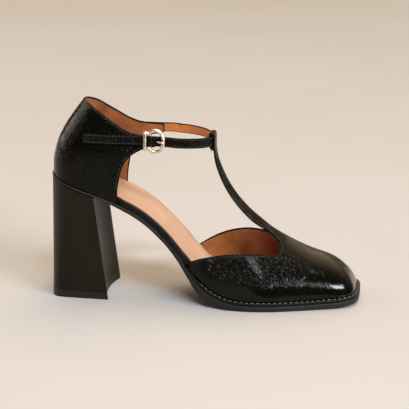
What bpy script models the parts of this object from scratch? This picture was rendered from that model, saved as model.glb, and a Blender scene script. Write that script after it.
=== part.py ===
"""A right T-strap shoe with a square toe, an open waist and a flared block heel.

Metres, +X to the toe, +Y to the inner side of the foot, +Z up. The finished shoe's origin is on the
floor, in the middle of the heel's foot. The tables count x from the back of the heel seat. Every layer
hangs from one curve, the bottom of the last, which is the top of the sock.
"""

import math

import bmesh
import bpy
import numpy as np

# Driving dimensions
LENGTH = 0.236  # heel seat to the tip of the upper's toe
GAP = 0.0003  # between pieces that touch
SOCK = 0.0012
WELT = 0.0020
WELT_INSIDE = 0.0065  # how far the welt reaches in under the upper
WALL = 0.0016  # upper leather with its lining
STRAP_WIDTH = 0.0076
STRAP_THICK = 0.0016
T_THICK = 0.0015
TOP_PIECE = 0.0060
WIRE = 0.0013  # radius of the buckle's wire
LATERAL, MEDIAL = -1, 1

TREAD_X = 0.0217  # middle of the heel's flat foot, the origin of the finished shoe

# Plan of the feather line, where the upper meets the sole: half widths each side of the axis
PLAN = {
    "x": (
        0.000, 0.026, 0.040, 0.055, 0.070, 0.085, 0.100, 0.112,
        0.125, 0.140, 0.155, 0.170, 0.185, 0.200, 0.215, 0.236,
    ),
    "lateral": (
        0.0260, 0.0260, 0.0265, 0.0258, 0.0245, 0.0240, 0.0258, 0.0300,
        0.0352, 0.0385, 0.0392, 0.0378, 0.0345, 0.0305, 0.0268, 0.0225,
    ),
    "medial": (
        0.0260, 0.0260, 0.0255, 0.0238, 0.0218, 0.0205, 0.0210, 0.0238,
        0.0285, 0.0338, 0.0372, 0.0382, 0.0370, 0.0342, 0.0308, 0.0262,
    ),
}
HEEL_ROUND, HEEL_POWER = 0.027, 2.15  # length and squareness of the rounded heel end
COLLAR_NARROWER = 0.45  # how much less square it is at the collar
TOE_ROUND, TOE_POWER = 0.026, 3.9
TOE_SLANT, SLANT_FROM = 0.050, 0.200  # the inner toe corner lies further forward

# Side view of the last's bottom
BOTTOM = {
    "x": (
        0.000, 0.015, 0.030, 0.045, 0.060, 0.075, 0.090, 0.100, 0.110,
        0.120, 0.130, 0.140, 0.152, 0.170, 0.185, 0.200, 0.220, 0.236,
    ),
    "z": (
        0.1019, 0.0963, 0.0911, 0.0860, 0.0798, 0.0706, 0.0574, 0.0464, 0.0344,
        0.0230, 0.0150, 0.0109, 0.0095, 0.0092, 0.0093, 0.0095, 0.0103, 0.0115,
    ),
}
# Thickness of each layer along the shoe
LAYERS = {
    "x": (0.000, 0.035, 0.060, 0.095, 0.105, 0.112, 0.120, 0.130, 0.140, 0.152, 0.236),
    "board": (0.0038, 0.0038, 0.0044, 0.0044, 0.0040, 0.0034, 0.0025, 0.0015, 0.0011, 0.0011, 0.0011),
    "total": (0.0072, 0.0073, 0.0090, 0.0091, 0.0102, 0.0113, 0.0115, 0.0105, 0.0099, 0.0097, 0.0095),
}
WELT_FROM, WELT_FULL = 0.106, 0.119
SOLE_GROW = {  # how far the sole's edge stands outside the feather line
    "x": (0.000, 0.035, 0.055, 0.095, 0.105, 0.115, 0.128, 0.236),
    "out": (0.0012, 0.0006, -0.0003, -0.0003, 0.0007, 0.0020, 0.0026, 0.0026),
}

# The vamp with its T-strap
VAMP_TOP_FROM, VAMP_FROM = 0.1104, 0.1085  # its back corner at the topline and at the sole
RIDGE = {  # the instep line, from the toe box up to the ankle strap
    "x": (
        0.236, 0.219, 0.2055, 0.192, 0.1802, 0.1705, 0.1629, 0.1550,
        0.1485, 0.1430, 0.1379, 0.1338, 0.1304, 0.1279, 0.1266, 0.1261,
    ),
    "z": (
        0.0290, 0.0325, 0.0368, 0.0434, 0.0496, 0.0556, 0.0616, 0.0682,
        0.0746, 0.0812, 0.0887, 0.0962, 0.1040, 0.1110, 0.1175, 0.1255,
    ),
}
SECTION = {  # how full each cross-section is, sideways and upwards: 2 is an ellipse
    "x": (0.108, 0.145, 0.168, 0.185, 0.205, 0.236),
    "side": (1.90, 1.85, 1.45, 1.60, 1.80, 1.50),
    "up": (1.95, 1.90, 1.60, 1.75, 1.85, 1.50),
}
SPINE_FROM, SPINE_REACH = 0.190, 0.0165  # where the sections start to fan round the toe
WING_TOP = {
    "x": (0.1104, 0.118, 0.126, 0.134, 0.142, 0.150, 0.160, 0.170),
    "lateral": (0.0346, 0.0378, 0.0403, 0.0420, 0.0428, 0.0426, 0.0414, 0.0394),
    "medial": (0.0328, 0.0372, 0.0409, 0.0436, 0.0454, 0.0465, 0.0473, 0.0474),
}
THROAT_BACK, THROAT_FRONT, THROAT_INNER = 0.170, 0.1772, 0.0083
T_STRAP = {
    "z": (0.0550, 0.0610, 0.0680, 0.0760, 0.0900, 0.1050, 0.1180),
    "half": (0.0083, 0.0076, 0.0072, 0.0068, 0.0062, 0.0058, 0.0056),
    "crown": (0.0046, 0.0048, 0.0046, 0.0042, 0.0036, 0.0026, 0.0016),
}
LOOP_FROM = 0.1180

# The quarter
QUARTER_END = 0.0535  # where it stops at the waist
HEEL_CURVE = {
    "z": (0.094, 0.106, 0.120, 0.132, 0.142, 0.1545),
    "x": (-0.0004, 0.0000, 0.0032, 0.0088, 0.0155, 0.0250),
}
QUARTER_LEAN = {
    "z": (0.075, 0.100, 0.115, 0.128, 0.137, 0.147, 0.1545),
    "in": (0.0, 0.0, 0.035, 0.125, 0.21, 0.34, 0.43),
}
COLLAR = {
    "x": (0.0250, 0.032, 0.040, 0.049, 0.0575, 0.065, 0.073, 0.084),
    LATERAL: (0.1545, 0.1514, 0.1466, 0.1405, 0.1350, 0.1316, 0.1301, 0.1292),
    MEDIAL: (0.1545, 0.1505, 0.1454, 0.1400, 0.1354, 0.1329, 0.1321, 0.1316),
}
FRONT_EDGE = {
    "up": (0.0, 0.16, 0.39, 0.57, 0.70, 0.77, 0.83, 0.865, 1.0),
    LATERAL: (0.0, 0.0, 0.06, 0.16, 0.32, 0.48, 0.72, 1.0, 1.0),
    MEDIAL: (0.0, 0.0, 0.05, 0.13, 0.28, 0.44, 0.68, 1.0, 1.0),
}
TAB_END = {LATERAL: 0.0838, MEDIAL: 0.0838}

# The ankle strap in plan, from the outer tab round the front of the ankle to the inner tab
STRAP_PLAN = {
    "x": (0.098, 0.1065, 0.1145, 0.1205, 0.1236, 0.1238, 0.1215, 0.1150, 0.1060, 0.096),
    "y": (-0.0231, -0.0219, -0.0182, -0.0119, -0.0040, 0.0040, 0.0112, 0.0165, 0.0193, 0.0200),
}
STRAP_MIDDLE = {
    "along": (0.0, 0.20, 0.24, 0.30, 0.38, 0.50, 0.62, 0.70, 0.80, 1.0),
    "z": (0.1270, 0.1261, 0.1259, 0.1252, 0.1246, 0.1236, 0.1238, 0.1255, 0.1273, 0.1279),
}
STRAP_TILT = math.radians(10)
STRAP_TIP, STRAP_LAP = 0.0275, 0.0700
BUCKLE_BAR, BUCKLE_HINGE, BUCKLE_RING, BUCKLE_Z = 0.0752, 0.0792, 0.0893, 0.1266
PRONG_Z, PRONG = 0.1262, 0.0007
FRAME_OUT = 0.0039  # the buckle's plane, outside the tab's face
STRAP_OUT = {  # the strap's middle outside the tab's face: over the hinge bar, under the ring
    "x": (0.027, 0.0735, 0.0757, 0.0792, 0.0830, 0.0875, 0.0915, 0.098),
    "out": (0.0012, 0.0012, 0.0013, 0.0031, 0.0027, 0.0014, 0.0012, 0.0012),
}

# The heel
BREAST_FOOT, BREAST_SEAT = 0.0452, 0.0354  # x of its front face on the floor and under the seat
HEEL_BACK = -0.0018
HEEL_FOOT = {"x": (0.0, 0.020, 0.048), "half": (0.0232, 0.0252, 0.0270)}
FOOT_ROUND, FOOT_POWER = 0.011, 3.0
BREAST_HOLLOW = 0.0045


def steps(first, last, count):
    return [first + (last - first) * i / (count - 1) for i in range(count)]


def curve(table, key, column):
    """A smooth function through two columns of a table, with no overshoot between its rows."""
    xs, ys = np.array(table[key]), np.array(table[column])
    if xs[0] > xs[-1]:
        xs, ys = xs[::-1], ys[::-1]
    run, rise = np.diff(xs), np.diff(ys)
    slopes = rise / run
    tangents = np.zeros(len(xs))
    tangents[0], tangents[-1] = slopes[0], slopes[-1]
    for i in range(1, len(xs) - 1):
        if slopes[i - 1] * slopes[i] > 0:
            a, b = 2 * run[i] + run[i - 1], run[i] + 2 * run[i - 1]
            tangents[i] = (a + b) / (a / slopes[i - 1] + b / slopes[i])

    def value(x):
        x = min(max(x, xs[0]), xs[-1])
        i = min(int(np.searchsorted(xs, x, side="right")) - 1, len(run) - 1)
        t = (x - xs[i]) / run[i]
        return float(
            ys[i] * (1 + 2 * t) * (1 - t) ** 2
            + ys[i + 1] * t * t * (3 - 2 * t)
            + run[i] * (tangents[i] * t * (1 - t) ** 2 + tangents[i + 1] * t * t * (t - 1))
        )

    return value


half_width = {LATERAL: curve(PLAN, "x", "lateral"), MEDIAL: curve(PLAN, "x", "medial")}
bottom_z = curve(BOTTOM, "x", "z")
board_at = curve(LAYERS, "x", "board")
total_at = curve(LAYERS, "x", "total")
sole_grow = curve(SOLE_GROW, "x", "out")
ridge_z, ridge_x = curve(RIDGE, "x", "z"), curve(RIDGE, "z", "x")
section_side, section_up = curve(SECTION, "x", "side"), curve(SECTION, "x", "up")
wing_top_z = {LATERAL: curve(WING_TOP, "x", "lateral"), MEDIAL: curve(WING_TOP, "x", "medial")}
t_half, t_crown = curve(T_STRAP, "z", "half"), curve(T_STRAP, "z", "crown")
heel_back_x = curve(HEEL_CURVE, "z", "x")
quarter_lean = curve(QUARTER_LEAN, "z", "in")
collar_z = {side: curve(COLLAR, "x", side) for side in (LATERAL, MEDIAL)}
front_edge = {side: curve(FRONT_EDGE, "up", side) for side in (LATERAL, MEDIAL)}
strap_middle_z = curve(STRAP_MIDDLE, "along", "z")
strap_out = curve(STRAP_OUT, "x", "out")
foot_half = curve(HEEL_FOOT, "x", "half")


def ramp(x, start, end):
    t = min(max((x - start) / (end - start), 0.0), 1.0)
    return t * t * (3 - 2 * t)


def mix(a, b, t):
    return a + (b - a) * t


HEEL_SHARE, TOE_SHARE = 0.16, 0.80  # stations where the rounded ends stop and start


def station(a):
    """Station a of the outline, 0 at the heel's back to 1 at the toe: its x and its share of the width."""
    if a < HEEL_SHARE:
        angle = a / HEEL_SHARE * math.pi / 2
        return HEEL_ROUND * (1 - math.cos(angle) ** (2 / HEEL_POWER)), math.sin(angle) ** (2 / HEEL_POWER)
    if a > TOE_SHARE:
        angle = (1 - a) / (1 - TOE_SHARE) * math.pi / 2
        share = math.sin(angle) ** (2 / TOE_POWER)
        return LENGTH - TOE_ROUND * (1 - math.cos(angle) ** (2 / TOE_POWER)), share
    return mix(HEEL_ROUND, LENGTH - TOE_ROUND, (a - HEEL_SHARE) / (TOE_SHARE - HEEL_SHARE)), 1.0


def station_of(x):
    """The station of a place between the rounded ends."""
    return mix(HEEL_SHARE, TOE_SHARE, (x - HEEL_ROUND) / (LENGTH - TOE_ROUND - HEEL_ROUND))


def edge(side, a):
    x, share = station(a)
    y = side * half_width[side](x) * share
    return np.array([x + TOE_SLANT * y * ramp(x, SLANT_FROM, LENGTH), y])


def outline(side, a, grow=0.0):
    """A point of the feather line in plan, moved outwards by grow."""
    step = 0.002
    before = edge(side, a - step) if a >= step else edge(-side, step - a)
    after = edge(side, a + step) if a <= 1 - step else edge(-side, 2 - step - a)
    along = (after - before) / np.linalg.norm(after - before)
    outward = np.array([-along[1], along[0]]) * side
    return edge(side, a) + outward * grow


def under(x, depth):
    """Height of the face straight below x of a layer that is depth thick, square to the last's bottom."""
    slope = (bottom_z(x + 0.0005) - bottom_z(x - 0.0005)) / 0.001
    return bottom_z(x) - depth * math.hypot(1.0, slope)


def feather_depth(x):
    """Depth of the board's underside, where the upper's edge stands."""
    return SOCK + GAP + board_at(x)


def welt_at(x):
    return WELT * (0.4 + 0.6 * ramp(x, WELT_FROM, WELT_FULL))


def outsole_top(x):
    under_welt = (welt_at(x) + GAP) * ramp(x, WELT_FROM - 0.0025, WELT_FROM - 0.0005)
    return feather_depth(x) + GAP + under_welt


def feather_z(x):
    return under(x, feather_depth(x))


def inset(x):
    """The board and sock stand inside the upper's wall, and reach its outer face where it is cut away."""
    open_waist = ramp(x, QUARTER_END + 0.0005, QUARTER_END + 0.005)
    open_waist *= 1 - ramp(x, VAMP_FROM - 0.006, VAMP_FROM - 0.001)
    return -(WALL + GAP + 0.0004 + 0.0003 * ramp(x, 0.2, 0.23)) * (1 - open_waist)


def section(side, a, up):
    """The vamp's outer face at station a, from the feather line at up 0 to the instep at up 1."""
    foot = edge(side, a)
    x = station(a)[0]
    spine = x if x < SPINE_FROM else SPINE_FROM + SPINE_REACH * (1 - math.exp((SPINE_FROM - x) / SPINE_REACH))
    angle = up * math.pi / 2
    out = max(math.cos(angle), 0.0) ** (2 / section_side(x))
    rise = math.sin(angle) ** (2 / section_up(x))
    base = feather_z(foot[0])
    return np.array([mix(spine, foot[0], out), foot[1] * out, mix(base, ridge_z(spine), rise)])


def up_of_y(side, x, y):
    """The place on the section at x that lies y from the axis."""
    return math.acos(min(y / half_width[side](x), 1.0) ** (section_side(x) / 2)) / (math.pi / 2)


def up_of_z(side, x, z):
    base = feather_z(x)
    rise = (z - base) / (ridge_z(x) - base)
    return math.asin(rise ** (section_up(x) / 2)) / (math.pi / 2)


def quarter_face(side, x, z):
    """Half width of the quarter's outer face at a place in side view."""
    back = heel_back_x(z)
    flat = x if x > QUARTER_END else (x - back) / (1 - back / QUARTER_END)
    share, power = 1.0, HEEL_POWER - COLLAR_NARROWER * ramp(z, 0.122, 0.1545)
    if flat < HEEL_ROUND:
        share = (1 - (1 - max(flat, 0.0) / HEEL_ROUND) ** power) ** (1 / power)
    return side * half_width[side](flat) * share * (1 - quarter_lean(z))


def strap_path(t):
    """The ankle strap's middle in plan, t from 0 at the outer tab to 1 at the inner tab."""
    xs, ys = STRAP_PLAN["x"], STRAP_PLAN["y"]
    place = min(max(t, 0.0), 1.0) * (len(xs) - 1)
    i = min(int(place), len(xs) - 2)
    f = place - i
    found = []
    for row in (xs, ys):
        p0, p1, p2, p3 = row[max(i - 1, 0)], row[i], row[i + 1], row[min(i + 2, len(row) - 1)]
        bend, twist = 2 * p0 - 5 * p1 + 4 * p2 - p3, 3 * p1 - p0 - 3 * p2 + p3
        found.append(0.5 * (2 * p1 + (p2 - p0) * f + bend * f * f + twist * f**3))
    return np.array(found)


def strap_outward(t):
    along = strap_path(min(t + 0.01, 1.0)) - strap_path(max(t - 0.01, 0.0))
    along /= np.linalg.norm(along)
    return np.array([along[1], -along[0]])


def strap_front(y):
    """The front of the ankle strap at y: its middle and its outward direction in plan."""
    low, high = 0.2, 0.8
    for _ in range(40):
        middle = (low + high) / 2
        low, high = (middle, high) if strap_path(middle)[1] < y else (low, middle)
    return strap_path(low), strap_outward(low)


# Building


def add_object(name, bm, material, group):
    bmesh.ops.recalc_face_normals(bm, faces=bm.faces)
    bmesh.ops.translate(bm, verts=bm.verts, vec=(-TREAD_X, 0.0, 0.0))
    mesh = bpy.data.meshes.new(name)
    bm.to_mesh(mesh)
    bm.free()
    mesh.shade_smooth()
    mesh.materials.append(material)
    obj = bpy.data.objects.new(name, mesh)
    group.objects.link(obj)
    return obj


def loft(name, rings, material, group):
    """A closed solid through rings of points, with a flat cap at each end."""
    bm = bmesh.new()
    loops = [[bm.verts.new(tuple(map(float, p))) for p in ring] for ring in rings]
    bm.faces.new(loops[0])
    bm.faces.new(loops[-1])
    for lower, upper in zip(loops, loops[1:]):
        for i in range(len(lower)):
            j = (i + 1) % len(lower)
            bm.faces.new((lower[i], lower[j], upper[j], upper[i]))
    return add_object(name, bm, material, group)


def shell(name, patches, thickness, material, group):
    """An open surface of point grids, joined where they share points, with the wall added inwards."""
    bm = bmesh.new()
    for rows in patches:
        grid = [[bm.verts.new(tuple(map(float, p))) for p in row] for row in rows]
        for near, far in zip(grid, grid[1:]):
            for c in range(len(near) - 1):
                bm.faces.new((near[c], near[c + 1], far[c + 1], far[c]))
    bmesh.ops.remove_doubles(bm, verts=bm.verts, dist=0.00002)
    obj = add_object(name, bm, material, group)
    wall = obj.modifiers.new("Wall", "SOLIDIFY")
    wall.thickness = thickness
    wall.offset = -1
    wall.use_even_offset = True
    return obj


def layer_stations(last=0.994):
    """Stations shared by every layer, close together at the ends and where the welt and the upper start."""
    rounds = [0.012, 0.026, 0.044, 0.064, 0.086, 0.110, 0.136, 0.160]
    places = steps(HEEL_ROUND, 0.0523, 6)[1:] + [QUARTER_END + 0.0005, 0.0585]
    places += steps(0.0625, 0.1010, 8) + [0.1030, 0.1045, WELT_FROM - 0.0005, WELT_FROM, 0.1075]
    places += steps(0.1100, LENGTH - TOE_ROUND, 27)
    toe = [0.815, 0.832, 0.850, 0.868, 0.886, 0.904, 0.922, 0.940, 0.956, 0.970, 0.982, last]
    return rounds + [station_of(x) for x in places] + toe


def plate(name, top, bottom, grow_at, material, group):
    """A layer of the sole between two depths, as wide as the outline grown by grow_at."""
    rings = []
    for a in layer_stations():
        ring = []
        for side, depth_at in ((LATERAL, top), (MEDIAL, top), (MEDIAL, bottom), (LATERAL, bottom)):
            x, y = outline(side, a, grow_at(station(a)[0]))
            ring.append((x, y, under(x, depth_at(x))))
        rings.append(ring)
    return loft(name, rings, material, group)


def make_welt(material, group):
    half = [a for a in layer_stations(1.0) if a > station_of(WELT_FROM) - 1e-9]
    path = [(LATERAL, a) for a in half] + [(MEDIAL, a) for a in half[-2::-1]]
    rings = []
    for side, a in path:
        outer, inner = outline(side, a, sole_grow(station(a)[0])), outline(side, a, -WELT_INSIDE)
        ring = []
        for (x, y), lower in ((outer, 0), (inner, 0), (inner, 1), (outer, 1)):
            ring.append((x, y, under(x, feather_depth(x) + GAP + lower * welt_at(x))))
        rings.append(ring)
    return loft("welt", rings, material, group)


def make_outsole(material, group):
    rings = []
    for a in layer_stations():
        ring = []
        for side, lower in ((LATERAL, 0), (MEDIAL, 0), (MEDIAL, 1), (LATERAL, 1)):
            x, y = outline(side, a, sole_grow(station(a)[0]))
            ring.append((x, y, max(under(x, total_at(x) if lower else outsole_top(x)), 0.0)))
        rings.append(ring)
    return loft("outsole", rings, material, group)


def vamp_patches(fine=1):
    """Grids of points over the vamp's outer face: toe, wings and T-strap, for each side."""
    wings, opening, strap = 4 * fine, 7 * fine, 2 * fine
    toe_rows, wing_rows = 13 * fine, 9 * fine
    patches = []
    for side in (LATERAL, MEDIAL):
        wing_up = up_of_z(side, THROAT_BACK, wing_top_z[side](THROAT_BACK))
        wing_y = abs(section(side, station_of(THROAT_BACK), wing_up)[1])
        throat = [(THROAT_BACK, wing_up * k / wings) for k in range(wings)]
        for k in range(opening + 1):
            turn = math.pi * k / opening
            x = mix(THROAT_BACK, THROAT_FRONT, math.sin(turn))
            throat.append((x, up_of_y(side, x, mix(wing_y, THROAT_INNER, (1 - math.cos(turn)) / 2))))
        for k in range(1, strap + 1):
            throat.append((THROAT_BACK, up_of_y(side, THROAT_BACK, THROAT_INNER * (1 - k / strap))))
        toe = []
        for i in range(toe_rows + 1):
            share = i / toe_rows
            row = []
            for k, (x, up) in enumerate(throat):
                even = k / (len(throat) - 1)
                row.append(section(side, mix(station_of(x), 1.0, share), mix(up, even, share)))
            toe.append(row)
        patches.append(toe)
        wing = []
        for i in range(wing_rows + 1):
            share = i / wing_rows
            row = []
            for k in range(wings + 1):
                back = mix(VAMP_FROM, VAMP_TOP_FROM, k / wings)
                x = mix(THROAT_BACK, back, share)
                row.append(section(side, station_of(x), up_of_z(side, x, wing_top_z[side](x)) * k / wings))
            wing.append(row)
        patches.append(wing)
        patches.append(t_strap_patch(side, strap, fine))
    return patches


def t_strap_patch(side, columns, fine):
    """The T-strap up the instep, and its end folded over the ankle strap and down behind it."""
    base = ridge_z(THROAT_BACK)
    out = STRAP_THICK / 2 + GAP + T_THICK
    crest = strap_middle_z(0.55) + STRAP_WIDTH / 2 - GAP / 3
    path = [(0.0, z) for z in steps(base, LOOP_FROM, 13 * fine)]
    path += [(out, mix(LOOP_FROM, crest, f)) for f in steps(0, 1, 4 * fine)[1:]]
    for turn in steps(0, math.pi, 7 * fine)[1:]:
        path.append((out * math.cos(turn), crest + out * math.sin(turn)))
    tail = out - T_THICK - GAP - T_THICK
    path += [(-out, 0.1195), (mix(-out, tail, 0.5), 0.1176), (tail, 0.1164), (tail, 0.1156)]
    rows = []
    for place, (offset, z) in enumerate(path):
        row = []
        for k in range(columns + 1):
            share = 1 - k / columns
            row.append(t_strap_point(side, share, offset, z, out, place >= 13 * fine))
        rows.append(row)
    return rows


def t_strap_point(side, share, offset, z, out, folded):
    base = ridge_z(THROAT_BACK)
    if folded:
        middle, outward = strap_front(side * share * t_half(LOOP_FROM))
        middle = middle + outward * offset
        lean = ridge_x(z) - ridge_x(LOOP_FROM) if z < LOOP_FROM else 0.0
        return np.array([middle[0] + lean, middle[1], z])
    x = ridge_x(z)
    y = THROAT_INNER * share if z - base < 1e-6 else t_half(z) * share
    tilt = (ridge_x(z + 0.0005) - ridge_x(z - 0.0005)) / 0.001
    length = math.hypot(1.0, tilt)
    loose = ramp(z, base, base + 0.010)
    throat_up = up_of_y(side, THROAT_BACK, THROAT_INNER * share)
    vamp_drop = base - section(side, station_of(THROAT_BACK), throat_up)[2]
    drop = mix(vamp_drop, t_crown(z) * share**1.6, loose)
    point = np.array([x - drop * loose / length, side * y, z - drop * mix(1.0, -tilt / length, loose)])
    near = ramp(z, LOOP_FROM - 0.014, LOOP_FROM)
    if near == 0:
        return point
    middle, outward = strap_front(side * share * t_half(LOOP_FROM))
    middle = middle + outward * out
    return mix(point, np.array([middle[0] + x - ridge_x(LOOP_FROM), middle[1], z]), near)


def quarter_point(side, along, up):
    """The quarter's outer face: along from the heel's back to its front edge, up from sole to collar."""
    front = mix(QUARTER_END, TAB_END[side], front_edge[side](up))
    foot = mix(HEEL_ROUND, QUARTER_END, (along - 0.55) / 0.45)
    if along < 0.55:
        foot = station(HEEL_SHARE * along / 0.55)[0]
    top_front = TAB_END[side]
    reach = ramp(along, 0.30, 1.0)
    low = feather_z(min(foot, QUARTER_END))
    z = 0.12
    for _ in range(30):
        x_top = heel_back_x(z) + foot * (1 - heel_back_x(z) / QUARTER_END)
        x_top += (top_front - QUARTER_END) * reach
        z = collar_z[side](x_top)
    height = mix(low, z, up)
    x = heel_back_x(height) + foot * (1 - heel_back_x(height) / QUARTER_END)
    x += (front - QUARTER_END) * reach
    if along == 0:
        return np.array([heel_back_x(height), 0.0, height])
    return np.array([x, quarter_face(side, x, height), height])


def quarter_patches(fine=1):
    rows, columns = 12 * fine, 18 * fine
    ups = [k / rows for k in range(rows + 1)]
    patches = []
    for side in (LATERAL, MEDIAL):
        patches.append([[quarter_point(side, i / columns, up) for up in ups] for i in range(columns + 1)])
    return patches


def strap_stations(fine=1):
    """Middles and upward directions of the ankle strap, from its free tip to its lap on the inner tab."""
    rows = []
    for x in steps(STRAP_TIP, 0.0945, 26 * fine):
        rows.append((LATERAL, x))
    for t in steps(0.0, 1.0, 34 * fine):
        rows.append((None, t))
    for x in steps(0.092, STRAP_LAP, 8 * fine):
        rows.append((MEDIAL, x))
    centres, ups = [], []
    for side, place in rows:
        if side is None:
            x, y = strap_path(place)
            outward = strap_outward(place)
            tilt = STRAP_TILT * ramp(abs(y), 0.0060, 0.0160)
            centres.append(np.array([x, y, strap_middle_z(0.3 + 0.5 * place)]))
            ups.append(np.array([*-outward * math.sin(tilt), math.cos(tilt)]))
            continue
        free = (place - STRAP_TIP) / (STRAP_PLAN["x"][0] - STRAP_TIP)
        z = strap_middle_z(0.3 * free if side == LATERAL else 1.0)
        rise = 0.001
        lean = (quarter_face(side, place, z + rise) - quarter_face(side, place, z - rise)) / (2 * rise)
        out = strap_out(place) if side == LATERAL else STRAP_THICK / 2 + GAP + 0.0001
        up = np.array([0.0, lean, 1.0]) / math.hypot(lean, 1.0)
        face = np.array([place, quarter_face(side, place, z), z])
        turn = quarter_face(side, place + 0.001, z) - quarter_face(side, place - 0.001, z)
        along = np.array([0.002, turn, 0.0])
        outward = np.cross(along, up) * -side
        outward /= np.linalg.norm(outward)
        if outward[1] * side < 0:
            outward = -outward
        centres.append(face + outward * out)
        ups.append(up)
    return centres, ups


def ribbon(centres, ups, width, thick, name, material, group):
    rings = []
    for i, (centre, up) in enumerate(zip(centres, ups)):
        along = centres[min(i + 1, len(centres) - 1)] - centres[max(i - 1, 0)]
        out = np.cross(along, up)
        out /= np.linalg.norm(out)
        rise = np.cross(out, along)
        rise /= np.linalg.norm(rise)
        corners = ((1, 1), (1, -1), (-1, -1), (-1, 1))
        rings.append([centre + out * a * thick / 2 + rise * b * width / 2 for a, b in corners])
    return loft(name, rings, material, group)


def wire(name, points, radius, closed, material, group, sides=8):
    """A round wire through the points. Its rings turn no more than they must from one point to the next."""
    bm = bmesh.new()
    count = len(points)
    loops = []
    across = np.array([0.0, 1.0, 0.0])
    for i, place in enumerate(points):
        before = points[(i - 1) % count] if closed or i > 0 else place
        after = points[(i + 1) % count] if closed or i < count - 1 else place
        along = (after - before) / np.linalg.norm(after - before)
        across = across - along * np.dot(across, along)
        across /= np.linalg.norm(across)
        other = np.cross(along, across)
        loop = []
        for k in range(sides):
            turn = 2 * math.pi * k / sides
            spoke = across * math.cos(turn) + other * math.sin(turn)
            loop.append(bm.verts.new(tuple(place + radius * spoke)))
        loops.append(loop)
    pairs = list(zip(loops, loops[1:]))
    if closed:
        pairs.append((loops[-1], loops[0]))
    else:
        bm.faces.new(loops[0])
        bm.faces.new(loops[-1])
    for near, far in pairs:
        for i in range(sides):
            j = (i + 1) % sides
            bm.faces.new((near[i], near[j], far[j], far[i]))
    return add_object(name, bm, material, group)


def buckle_place(x, out, z):
    """A place near the buckle: out is measured square to the strap's side, from the outer tab's face."""
    face = quarter_face(LATERAL, x, z)
    return np.array([x, face - out, z])


def buckle_ring_points(count=30):
    """A horseshoe ring whose ends close on the straight bar at the back."""
    middle = (BUCKLE_BAR + BUCKLE_RING) / 2 + 0.0009
    radius_x, radius_z = BUCKLE_RING - middle, 0.0079
    points = []
    for turn in steps(-0.78 * math.pi, 0.78 * math.pi, count):
        points.append((middle + radius_x * math.cos(turn), FRAME_OUT, BUCKLE_Z + radius_z * math.sin(turn)))
    points += [(BUCKLE_BAR, FRAME_OUT, BUCKLE_Z + z) for z in (0.0062, 0.0032, 0.0, -0.0032, -0.0062)]
    return [buckle_place(*p) for p in points]


def buckle_hinge_points():
    """The bar between the ring's sides, bent in to pass under the strap."""
    half = ((0.0060, FRAME_OUT), (0.0056, 0.0032), (0.0051, 0.0018), (0.0046, 0.0012))
    path = list(half) + [(0.0, 0.0012)] + [(-z, out) for z, out in half[::-1]]
    return [buckle_place(BUCKLE_HINGE, out, BUCKLE_Z + z) for z, out in path]


def buckle_prong_points():
    """From under the strap at the hinge, out through the strap's slot, to rest on the ring."""
    path = [(0.0806, 0.0012), (0.0822, 0.0016), (0.0840, 0.0029), (0.0855, 0.0047)]
    path += [(0.0868, 0.0060), (0.0882, 0.0064), (0.0899, 0.0062)]
    return [buckle_place(x, out, PRONG_Z) for x, out in path]


def heel_point(side, along, level):
    """The heel's outer face: along from its back to the breast, level 0 on the floor, 1 under the seat."""
    if along < 0.8:
        angle = along / 0.8 * math.pi / 2
        foot_x = FOOT_ROUND * (1 - math.cos(angle) ** (2 / FOOT_POWER))
        foot_share = math.sin(angle) ** (2 / FOOT_POWER)
    else:
        foot_x = mix(FOOT_ROUND, BREAST_FOOT - HEEL_BACK, (along - 0.8) / 0.2)
        foot_share = 1.0
    foot = np.array([HEEL_BACK + foot_x, side * foot_half(foot_x) * foot_share])
    seat_a = mix(HEEL_SHARE, station_of(BREAST_SEAT), (along - 0.8) / 0.2)
    if along < 0.8:
        seat_a = HEEL_SHARE * along / 0.8
    seat = outline(side, seat_a, 0.0010)
    return mix(foot, seat, level)


def seat_z(x):
    return under(x, total_at(x)) - GAP


def heel_rings(lowest, highest, levels):
    """Rings of the heel from back to breast, between the height lowest and the heights highest(x)."""
    rings = []
    for along in [0.02, 0.08, 0.16, 0.25, 0.35, 0.46, 0.58, 0.70, 0.8, 0.87, 0.94, 1.0]:
        ring = []
        for side, order in ((LATERAL, levels), (MEDIAL, levels[::-1])):
            for level in order:
                x, y = heel_point(side, along, level)
                ring.append((x, y, mix(lowest, highest(x), (level - levels[0]) / (levels[-1] - levels[0]))))
        rings.append(ring)
    return rings


def breast_cutter(material, group):
    """A shallow round hollow down the whole front of the heel."""
    lean = (BREAST_SEAT - BREAST_FOOT) / seat_z(BREAST_SEAT)
    half = foot_half(0.048) - 0.0010
    rings = []
    for z in (-0.004, 0.100):
        ring = [(BREAST_FOOT + 0.03, y, z) for y in (-half, half)]
        for share in steps(1.0, -1.0, 15):
            ring.append((BREAST_FOOT + lean * z - BREAST_HOLLOW * (1 - share * share), share * half, z))
        rings.append(ring)
    return loft(f"{group.name[:-8]}hollow", rings, material, group)


def cut(obj, cutter, operation="DIFFERENCE"):
    boolean = obj.modifiers.new(cutter.name, "BOOLEAN")
    boolean.operation = operation
    boolean.object = cutter
    boolean.solver = "EXACT"
    cutter.hide_render = True


def cutter_group(obj_name):
    group = bpy.data.collections.new(f"{obj_name} cutters")
    bpy.context.scene.collection.children.link(group)
    return group


def new_material(name, colour, roughness, metallic=0.0):
    material = bpy.data.materials.new(name)
    material.use_nodes = True
    shader = material.node_tree.nodes["Principled BSDF"]
    shader.inputs["Base Color"].default_value = (*colour, 1.0)
    shader.inputs["Roughness"].default_value = roughness
    shader.inputs["Metallic"].default_value = metallic
    return material


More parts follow.
